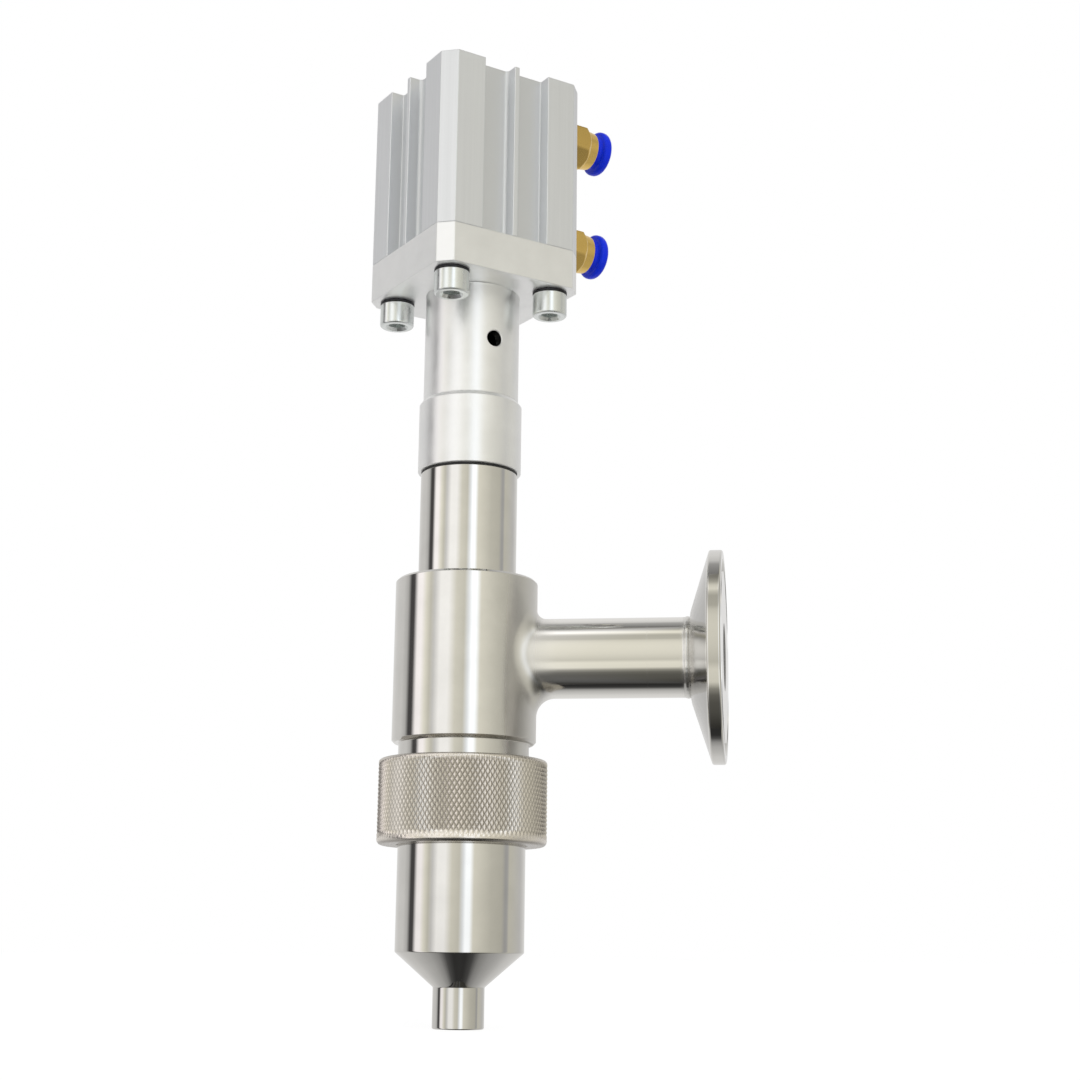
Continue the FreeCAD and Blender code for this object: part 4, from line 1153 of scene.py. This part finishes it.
def mount_sleeve():
    """Square flange that runs into a round sleeve, with the weep hole through its wall."""
    low, high = low_of("mount_sleeve"), high_of("mount_sleeve")
    shoulder = high_of("coupling_ring")
    under = high - FLANGE_THICKNESS
    middle = (shoulder + under) / 2
    turn = WEEP_HOLE_TURN - BOX_TURN
    skin = Skin()
    square = rounded(four_sides(*[plain_side()] * 4), closed=True)
    bottom, top, _ = walls(skin, square, under, high, FLANGE_EDGE)
    hole_r = SCREW_R + SCREW_PLAY
    bottoms, tops = corner_holes(skin, [(hole_r + 0.2, under), (hole_r, under + 0.2), (hole_r, high)])
    theta = around(PORT_TURNS, turn - 180)
    clear = WEEP_HALF + WEEP_CLEAR
    outer = rounded([(SLEEVE_R, middle - clear), (SLEEVE_R, shoulder, 0.15),
                     (JOINT_SPIGOT_R, shoulder, 0.1), (JOINT_SPIGOT_R, low, 0.25),
                     (SLEEVE_BORE_R, low, 0.25), (SLEEVE_BORE_R, middle - clear)])
    inner = rounded([(SLEEVE_BORE_R, middle + clear), (SLEEVE_BORE_R, high - FLANGE_WEB, 0.3),
                     (ROD_HOLE_R, high - FLANGE_WEB, 0.2), (ROD_HOLE_R, high)])
    profile = np.concatenate([
        [(SLEEVE_R + 0.3, under), (SLEEVE_R + 0.09, under - 0.09), (SLEEVE_R, under - 0.3),
         (SLEEVE_R, under - 0.5)],
        wall_rows(SLEEVE_R, middle, WEEP_HALF, WEEP_ROWS)[::-1], outer,
        wall_rows(SLEEVE_BORE_R, middle, WEEP_HALF, WEEP_ROWS), inner])
    index = skin.add(swept(profile, theta))
    outer_loop, inner_loop = open_ports(skin, index, profile, theta, middle, turn,
                                        [(r, WEEP_HALF, WEEP_PORT_TURN) for r in (SLEEVE_R, SLEEVE_BORE_R)])
    points = np.concatenate(skin.points)
    _, wide = port_edge(points[outer_loop], turn, middle, SLEEVE_R, WEEP_HOLE_R + WEEP_CHAMFER)
    _, narrow = port_edge(points[outer_loop], turn, middle, SLEEVE_R - WEEP_CHAMFER, WEEP_HOLE_R)
    _, far = port_edge(points[inner_loop], turn, middle, SLEEVE_BORE_R, WEEP_HOLE_R)
    layers = np.concatenate([ease_on_cylinder(points[outer_loop], wide, 3, SLEEVE_R), [narrow],
                             ease_on_cylinder(points[inner_loop], far, 2, SLEEVE_BORE_R)[::-1]])
    skin.weave(np.concatenate([outer_loop[None], skin.add(layers), inner_loop[None]]))
    skin.fill([bottom] + bottoms + [index[0]])
    skin.fill([top] + tops + [index[-1]])
    make_piece("sleeve_skin", spin_skin(skin, BOX_TURN), "mount_sleeve", filled=True)


def copies(make, places):
    """One skin that holds a copy of a small skin at each place, turned with the cylinder."""
    whole = Skin()
    for x, y in places:
        part = make()
        shift = whole.count
        whole.add(np.concatenate(part.points) + [x, y, 0])
        whole.quads += [quads + shift for quads in part.quads]
        whole.triangles += [triangles + shift for triangles in part.triangles]
    return spin_skin(whole, BOX_TURN)


def cap_screw():
    """Socket-head cap screw pointing up: countersunk hexagon socket below, smooth head, plain shank.
    The socket's radius is (flats/2)/cos(u) with u within 30 degrees of each flat's middle."""
    low, high = low_of("flange_screws"), high_of("flange_screws")
    head_top = low + SCREW_HEAD
    theta = around(96)
    socket = hexagon_radius(theta, SOCKET_FLATS)
    outline = rounded([(SOCKET_RIM_R, low), (SCREW_HEAD_R, low, 0.6), (SCREW_HEAD_R, head_top, 0.2),
                       (SCREW_R, head_top), (SCREW_R, high - 0.5, 0.05), (SCREW_R - 0.5, high)])
    r = np.concatenate([[socket * 0.96, socket, socket], outline[:, 0, None] + 0 * theta])
    z = np.concatenate([[low + SOCKET_DEPTH, low + SOCKET_DEPTH - 0.1, low + 0.7], outline[:, 1]])
    skin = Skin()
    index = skin.add(rings(r, z[:, None], theta))
    skin.weave(index)
    skin.cap(index, low + SOCKET_DEPTH + 0.5, high)
    return skin


def spring_washer():
    """Split spring washer: a rounded square section carried once round from one side of its slit to the
    other."""
    low, high = low_of("spring_washers"), high_of("spring_washers")
    inner = SCREW_R + JOINT_GAP
    section = rounded([(inner, low, 0.12), (WASHER_R, low, 0.22), (WASHER_R, high, 0.22),
                       (inner, high, 0.12)], closed=True, step=30.0)
    half = math.asin(WASHER_SLIT / 2 / WASHER_R)
    skin = Skin()
    index = skin.add(swept(section, np.linspace(half, 2 * math.pi - half, 73)))
    skin.weave(np.concatenate([index, index[:1]]), closed=False)
    for loop in (index[:, 0], index[::-1, -1]):
        skin.fan(loop, np.concatenate(skin.points)[loop].mean(axis=0))
    return skin


def flange_fasteners():
    """Four cap screws and their spring washers."""
    for name, make, node in (("screw_skins", cap_screw, "flange_screws"),
                             ("washer_skins", spring_washer, "spring_washers")):
        make_piece(name, copies(make, screw_places()), node, filled=True)


def fitting_body():
    """Hexagon body of a push-in fitting about Z: each row's radius is the smaller of the hexagon's and the
    turned envelope's, so that the corners run out in curves."""
    half, corner = HEX_FLATS / 2, HEX_FLATS / math.sqrt(3)
    theta = around(120)
    low_chamfer = [(half - 0.25 + share * (corner - half + 0.3), HEX_START + HEX_LOW_CHAMFER * share)
                   for share in np.linspace(0, 1, 6)]
    high_chamfer = [(corner + 0.05 - share * (corner - half + 0.3), HEX_END - HEX_HIGH_CHAMFER * (1 - share))
                    for share in np.linspace(0, 1, 9)]
    nose = rounded([(half - 0.25, HEX_END), (NOSE_R, NOSE_END, 0.35), (FITTING_CAVITY_R, NOSE_END, 0.1),
                    (FITTING_CAVITY_R, FITTING_SEAL_START, 0.2), (HOSE_R, FITTING_SEAL_START, 0.1),
                    (HOSE_R, HEX_START + 1.0)])
    envelope = np.concatenate([[(2.0, HEX_START), (2.5, HEX_START)], low_chamfer, high_chamfer, nose])
    skin = Skin()
    r = np.minimum(envelope[:, 0, None], hexagon_radius(theta, HEX_FLATS, HEX_TURN))
    index = skin.add(rings(r, envelope[:, 1, None], theta))
    skin.weave(index)
    skin.cap(index, HEX_START, HEX_START + 1.0)
    return skin


def release_collar():
    """Blue release collar: tube with a rounded push disc at its end."""
    outline = [(HOSE_R, COLLAR_START), (COLLAR_STEM_R, COLLAR_START, 0.15), (COLLAR_STEM_R, DISC_START, 0.8),
               (DISC_R, DISC_START, 1.2), (DISC_R, DISC_END, 1.2), (HOSE_R, DISC_END, 0.3)]
    return lathe(rounded(outline, closed=True), 96)


def air_fittings():
    """Both push-in fittings on the cylinder's port face."""
    low, high = low_of("cylinder_body"), high_of("cylinder_body")
    for place, height, reach in (("upper", high - PORT_FROM_REAR, BOX_HALF),
                                 ("lower", low + PORT_FROM_FRONT, BOX_HALF - FRONT_PORT_SINK)):
        for name, make, node, sharp in (("_fitting_skin", fitting_body, "_fitting_body", 25.0),
                                        ("_collar_skin", release_collar, "_release_collar", SHARP_ANGLE)):
            skin = turned_along(make(), height, reach, BOX_TURN)
            make_piece(place + name, skin, place + node, sharp).visible_glossy = False


def rear_cover():
    """Rear cover with a broken edge and its sunk centre mark."""
    low, high = low_of("rear_cover"), high_of("rear_cover")
    seat, step, mark = CYLINDER_BORE_R - JOINT_GAP, low + COVER_STEP, high - MARK_DEPTH
    turned_piece("rear_cover_skin", "rear_cover", [
        (0, low), (COVER_NECK_R, low, 0.2), (COVER_NECK_R, step, 0.1), (seat, step, 0.2), (seat, high, 0.25),
        (MARK_R, high, 0.1), (0.2, mark, 0.05), (0, mark)], closed=False)


def valve_plug():
    """Plug: nose in the spout's bore, conical shoulder and long taper to the stem."""
    low, high = low_of("valve_plug"), high_of("valve_plug")
    nose = SPOUT_BORE_R - RUNNING_GAP
    seat = SEAT_HEIGHT + PLUG_LIFT
    shoulder = seat - RUNNING_GAP * CONE_SLOPE
    wide = seat + (PLUG_R - SPOUT_BORE_R) * CONE_SLOPE
    groove, start, end = nose - PLUG_GROOVE_DEPTH, low + PLUG_GROOVE_START, low + PLUG_GROOVE_END
    turned_piece("plug_skin", "valve_plug", [
        (0, low), (nose, low, 0.5), (nose, start, 0.1), (groove, start, 0.1), (groove, end, 0.1),
        (nose, end, 0.1), (nose, shoulder, 0.2), (PLUG_R, wide, 0.3), (PLUG_R, wide + PLUG_LENGTH, 0.6),
        (STEM_R, high, 0.2), (0, high)], closed=False)


def dress_inner_pieces():
    """Give every node that is still shown its own finish."""
    for node, piece in frame["nodes"].items():
        piece.data.materials.clear()
        piece.data.materials.append(finish_of(node))


def make_camera():
    """Camera at the photograph's viewpoint."""
    pan, pitch, roll = (math.radians(angle) for angle in (CAMERA_PAN, CAMERA_PITCH, CAMERA_ROLL))
    ahead = Matrix.Rotation(pan, 3, "Z") @ Vector((0, math.cos(pitch), math.sin(pitch)))
    right = Matrix.Rotation(pan, 3, "Z") @ Vector((1, 0, 0))
    up = right.cross(ahead)
    across = math.cos(roll) * right + math.sin(roll) * up
    upward = math.cos(roll) * up - math.sin(roll) * right
    data = bpy.data.cameras.new("camera")
    data.lens = CAMERA_LENS
    data.sensor_width = SENSOR_WIDTH
    data.clip_start = 0.01
    camera = bpy.data.objects.new("camera", data)
    turn = Matrix((across, upward, -ahead)).transposed()
    camera.matrix_world = Matrix.Translation(Vector(CAMERA_PLACE) * MM) @ turn.to_4x4()
    bpy.context.scene.collection.objects.link(camera)
    bpy.context.scene.camera = camera


def stage_mesh(name, points, quads, finish):
    """Mesh object of the stage, from points in millimetres."""
    mesh = bpy.data.meshes.new(name)
    mesh.from_pydata((np.array(points, float) * MM).tolist(), [], np.array(quads).tolist())
    mesh.materials.append(finish.material)
    piece = bpy.data.objects.new(name, mesh)
    bpy.context.scene.collection.objects.link(piece)
    return piece


def studio_wall():
    """Round wall of soft light far outside the object, seen only in reflections. Its light changes with the
    direction: degrees round from the camera, and degrees above the horizon."""
    finish = Finish("studio_wall")
    spin = finish.place(turn=-CAMERA_SIDE)
    x, y, z = finish.split(spin)
    level_reach = finish.length(finish.add("ShaderNodeMapping", Vector=spin, Scale=(1, 1, 0)).outputs[0])
    across = finish.between(finish.reckon("ARCTAN2", y, x), 0.0, 1.0, -math.pi, math.pi)
    upward = finish.between(finish.reckon("ARCTAN2", z, level_reach), 0.0, 1.0, -math.pi / 2, math.pi / 2)
    facing = finish.reckon("DIVIDE", x, level_reach)
    bright = TINT_TOP * max(level for _, level, _ in STUDIO_ROUND)
    highest = max(share for _, share in RISE_FRONT + RISE_BEHIND)
    stops = [((angle + 180) / 360, tuple(level / bright * part for part in TINTS[tint]))
             for angle, level, tint in STUDIO_ROUND]
    front, behind = (
        finish.ramp([((angle + 90) / 180, (share / highest,) * 3) for angle, share in rises], upward)
        for rises in (RISE_FRONT, RISE_BEHIND))
    rise = finish.blend(finish.between(facing, 0.0, 1.0, 0.12, -0.12), front, behind)
    glow = finish.blend(1.0, finish.ramp(stops, across), rise, "MULTIPLY")
    light = finish.add("ShaderNodeEmission", Color=glow, Strength=bright * highest * STUDIO_GAIN)
    finish.feed(finish.output, "Surface", light.outputs[0])
    azimuth, rise = np.meshgrid(around(64), np.radians(np.linspace(-90, 90, 33)))
    skin = Skin()
    skin.weave(skin.add(rings(STUDIO_R * np.cos(rise), STUDIO_R * np.sin(rise), azimuth)))
    wall = stage_mesh("studio_wall", np.concatenate(skin.points), np.concatenate(skin.quads), finish)
    wall.location = (0, 0, STUDIO_CENTRE * MM)
    wall.visible_camera = wall.visible_diffuse = wall.visible_shadow = wall.visible_transmission = False


def floor():
    """Plain pale floor: white to the camera, with the soft shadow of the object kept in it."""
    finish = Finish("pale_floor")
    finish.surface(Base_Color=FLOOR_COLOUR, Roughness=0.9, Specular_IOR_Level=0.1)
    light = finish.add("ShaderNodeEmission", Color=(1, 1, 1, 1), Strength=FLOOR_GLOW)
    seen = finish.add("ShaderNodeLightPath").outputs["Is Camera Ray"]
    mix = finish.add("ShaderNodeMixShader")
    for slot, value in enumerate((finish.reckon("MULTIPLY", seen, FLOOR_GLOW_SHARE), finish.shader.outputs[0],
                                  light.outputs[0])):
        finish.feed(mix, slot, value)
    finish.feed(finish.output, "Surface", mix.outputs[0])
    corners = [quarter((FLOOR_HALF, -FLOOR_HALF), turn) + (0,) for turn in range(4)]
    plate = stage_mesh("pale_floor", corners, [(0, 1, 2, 3)], finish)
    plate.visible_glossy = False


def world_light():
    """White surroundings to the camera, and the same light, lower, on matt surfaces."""
    world = bpy.data.worlds.new("studio")
    bpy.context.scene.world = world
    world.use_nodes = True
    nodes = Nodes(world.node_tree)
    path = nodes.add("ShaderNodeLightPath").outputs
    clear = nodes.reckon("MAXIMUM", path["Is Glossy Ray"], path["Is Transmission Ray"])
    seen = nodes.reckon("MAXIMUM", path["Is Camera Ray"], clear)
    back = nodes.tree.nodes["Background"]
    nodes.feed(back, "Color", (1, 1, 1, 1))
    nodes.feed(back, "Strength", nodes.between(seen, bpy.context.scene.nozzle_studio.level, 1.0, 0.0, 1.0))


def soft_lamp():
    """One broad lamp above and in front, a little to the right, that gives the floor its shadow."""
    data = bpy.data.lights.new("soft_lamp", "AREA")
    data.energy = bpy.context.scene.nozzle_studio.key
    data.size = LAMP_SIZE
    lamp = bpy.data.objects.new("soft_lamp", data)
    lamp.location = LAMP_PLACE
    lamp.rotation_euler = (Vector(LAMP_AIM) - lamp.location).to_track_quat("-Z", "Y").to_euler()
    lamp.visible_glossy = False
    bpy.context.scene.collection.objects.link(lamp)


class NozzleStep(bpy.types.Operator):
    """Base of the building steps."""
    bl_options = {"REGISTER", "UNDO"}
    parts = ()

    def execute(self, context):
        """Run the functions that this step names."""
        for make in self.parts:
            make()
        return {"FINISHED"}


class NOZZLE_OT_outlet(NozzleStep):
    """Build the outlet barrel with its spout."""
    bl_idname = "nozzle.outlet"
    bl_label = "Outlet barrel"
    parts = (outlet_barrel,)


class NOZZLE_OT_union_nut(NozzleStep):
    """Build the knurled union nut."""
    bl_idname = "nozzle.union_nut"
    bl_label = "Union nut"
    parts = (union_nut,)


class NOZZLE_OT_tee(NozzleStep):
    """Build the tee body."""
    bl_idname = "nozzle.tee"
    bl_label = "Tee body"
    parts = (tee_body,)


class NOZZLE_OT_branch(NozzleStep):
    """Build the inlet pipe and its ferrule."""
    bl_idname = "nozzle.branch"
    bl_label = "Inlet branch"
    parts = (inlet_branch,)


class NOZZLE_OT_tubes(NozzleStep):
    """Build the upper barrel, its seal and the coupling ring."""
    bl_idname = "nozzle.tubes"
    bl_label = "Tubes and ring"
    parts = (upper_barrel, coupling_ring)


class NOZZLE_OT_sleeve(NozzleStep):
    """Build the flanged sleeve."""
    bl_idname = "nozzle.sleeve"
    bl_label = "Mounting sleeve"
    parts = (mount_sleeve,)


class NOZZLE_OT_fasteners(NozzleStep):
    """Build the flange's screws and spring washers."""
    bl_idname = "nozzle.fasteners"
    bl_label = "Screws and washers"
    parts = (flange_fasteners,)


class NOZZLE_OT_cylinder(NozzleStep):
    """Build the grooved cylinder and its rear cover."""
    bl_idname = "nozzle.cylinder"
    bl_label = "Air cylinder"
    parts = (cylinder_body, rear_cover)


class NOZZLE_OT_fittings(NozzleStep):
    """Build both push-in air fittings."""
    bl_idname = "nozzle.fittings"
    bl_label = "Air fittings"
    parts = (air_fittings,)


class NOZZLE_OT_valve(NozzleStep):
    """Build the valve plug that shows in the mouth."""
    bl_idname = "nozzle.valve"
    bl_label = "Valve plug"
    parts = (valve_plug,)


class NOZZLE_OT_inner(NozzleStep):
    """Finish the pieces that keep the frame's own shape."""
    bl_idname = "nozzle.inner"
    bl_label = "Inner pieces"
    parts = (dress_inner_pieces,)


class NOZZLE_OT_stage(NozzleStep):
    """Set the camera, the floor, the soft light and the world."""
    bl_idname = "nozzle.stage"
    bl_label = "Stage"
    parts = (make_camera, world_light, studio_wall, floor, soft_lamp)


STEPS = (NOZZLE_OT_stage, NOZZLE_OT_inner, NOZZLE_OT_outlet, NOZZLE_OT_union_nut, NOZZLE_OT_tee,
         NOZZLE_OT_branch, NOZZLE_OT_tubes, NOZZLE_OT_sleeve, NOZZLE_OT_fasteners, NOZZLE_OT_cylinder,
         NOZZLE_OT_fittings, NOZZLE_OT_valve)


class NOZZLE_PT_panel(bpy.types.Panel):
    """Lists the settings and the building steps."""
    bl_label = "Nozzle"
    bl_space_type = "VIEW_3D"
    bl_region_type = "UI"
    bl_category = "Nozzle"

    def draw(self, context):
        """Draw the settings, then one button for each step."""
        for group in (context.scene.nozzle_sizes, context.scene.nozzle_colours, context.scene.nozzle_studio):
            for key in group.bl_rna.properties.keys():
                if key not in ("rna_type", "name"):
                    self.layout.prop(group, key)
        for step in STEPS:
            self.layout.operator(step.bl_idname)


CLASSES = (NozzleSizes, NozzleColours, NozzleStudio) + STEPS + (NOZZLE_PT_panel,)


def register():
    """Add the classes and the scene's settings."""
    for item in CLASSES:
        bpy.utils.register_class(item)
    bpy.types.Scene.nozzle_sizes = bpy.props.PointerProperty(type=NozzleSizes)
    bpy.types.Scene.nozzle_colours = bpy.props.PointerProperty(type=NozzleColours)
    bpy.types.Scene.nozzle_studio = bpy.props.PointerProperty(type=NozzleStudio)


def unregister():
    """Take them away again."""
    del bpy.types.Scene.nozzle_sizes
    del bpy.types.Scene.nozzle_colours
    del bpy.types.Scene.nozzle_studio
    for item in reversed(CLASSES):
        bpy.utils.unregister_class(item)


def main():
    """Build the whole nozzle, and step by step."""
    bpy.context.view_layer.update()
    register()
    bpy.context.scene.view_settings.view_transform = "Standard"
    for step in STEPS:
        group, name = step.bl_idname.split(".")
        getattr(getattr(bpy.ops, group), name)()


if __name__ == "__main__":
    main()
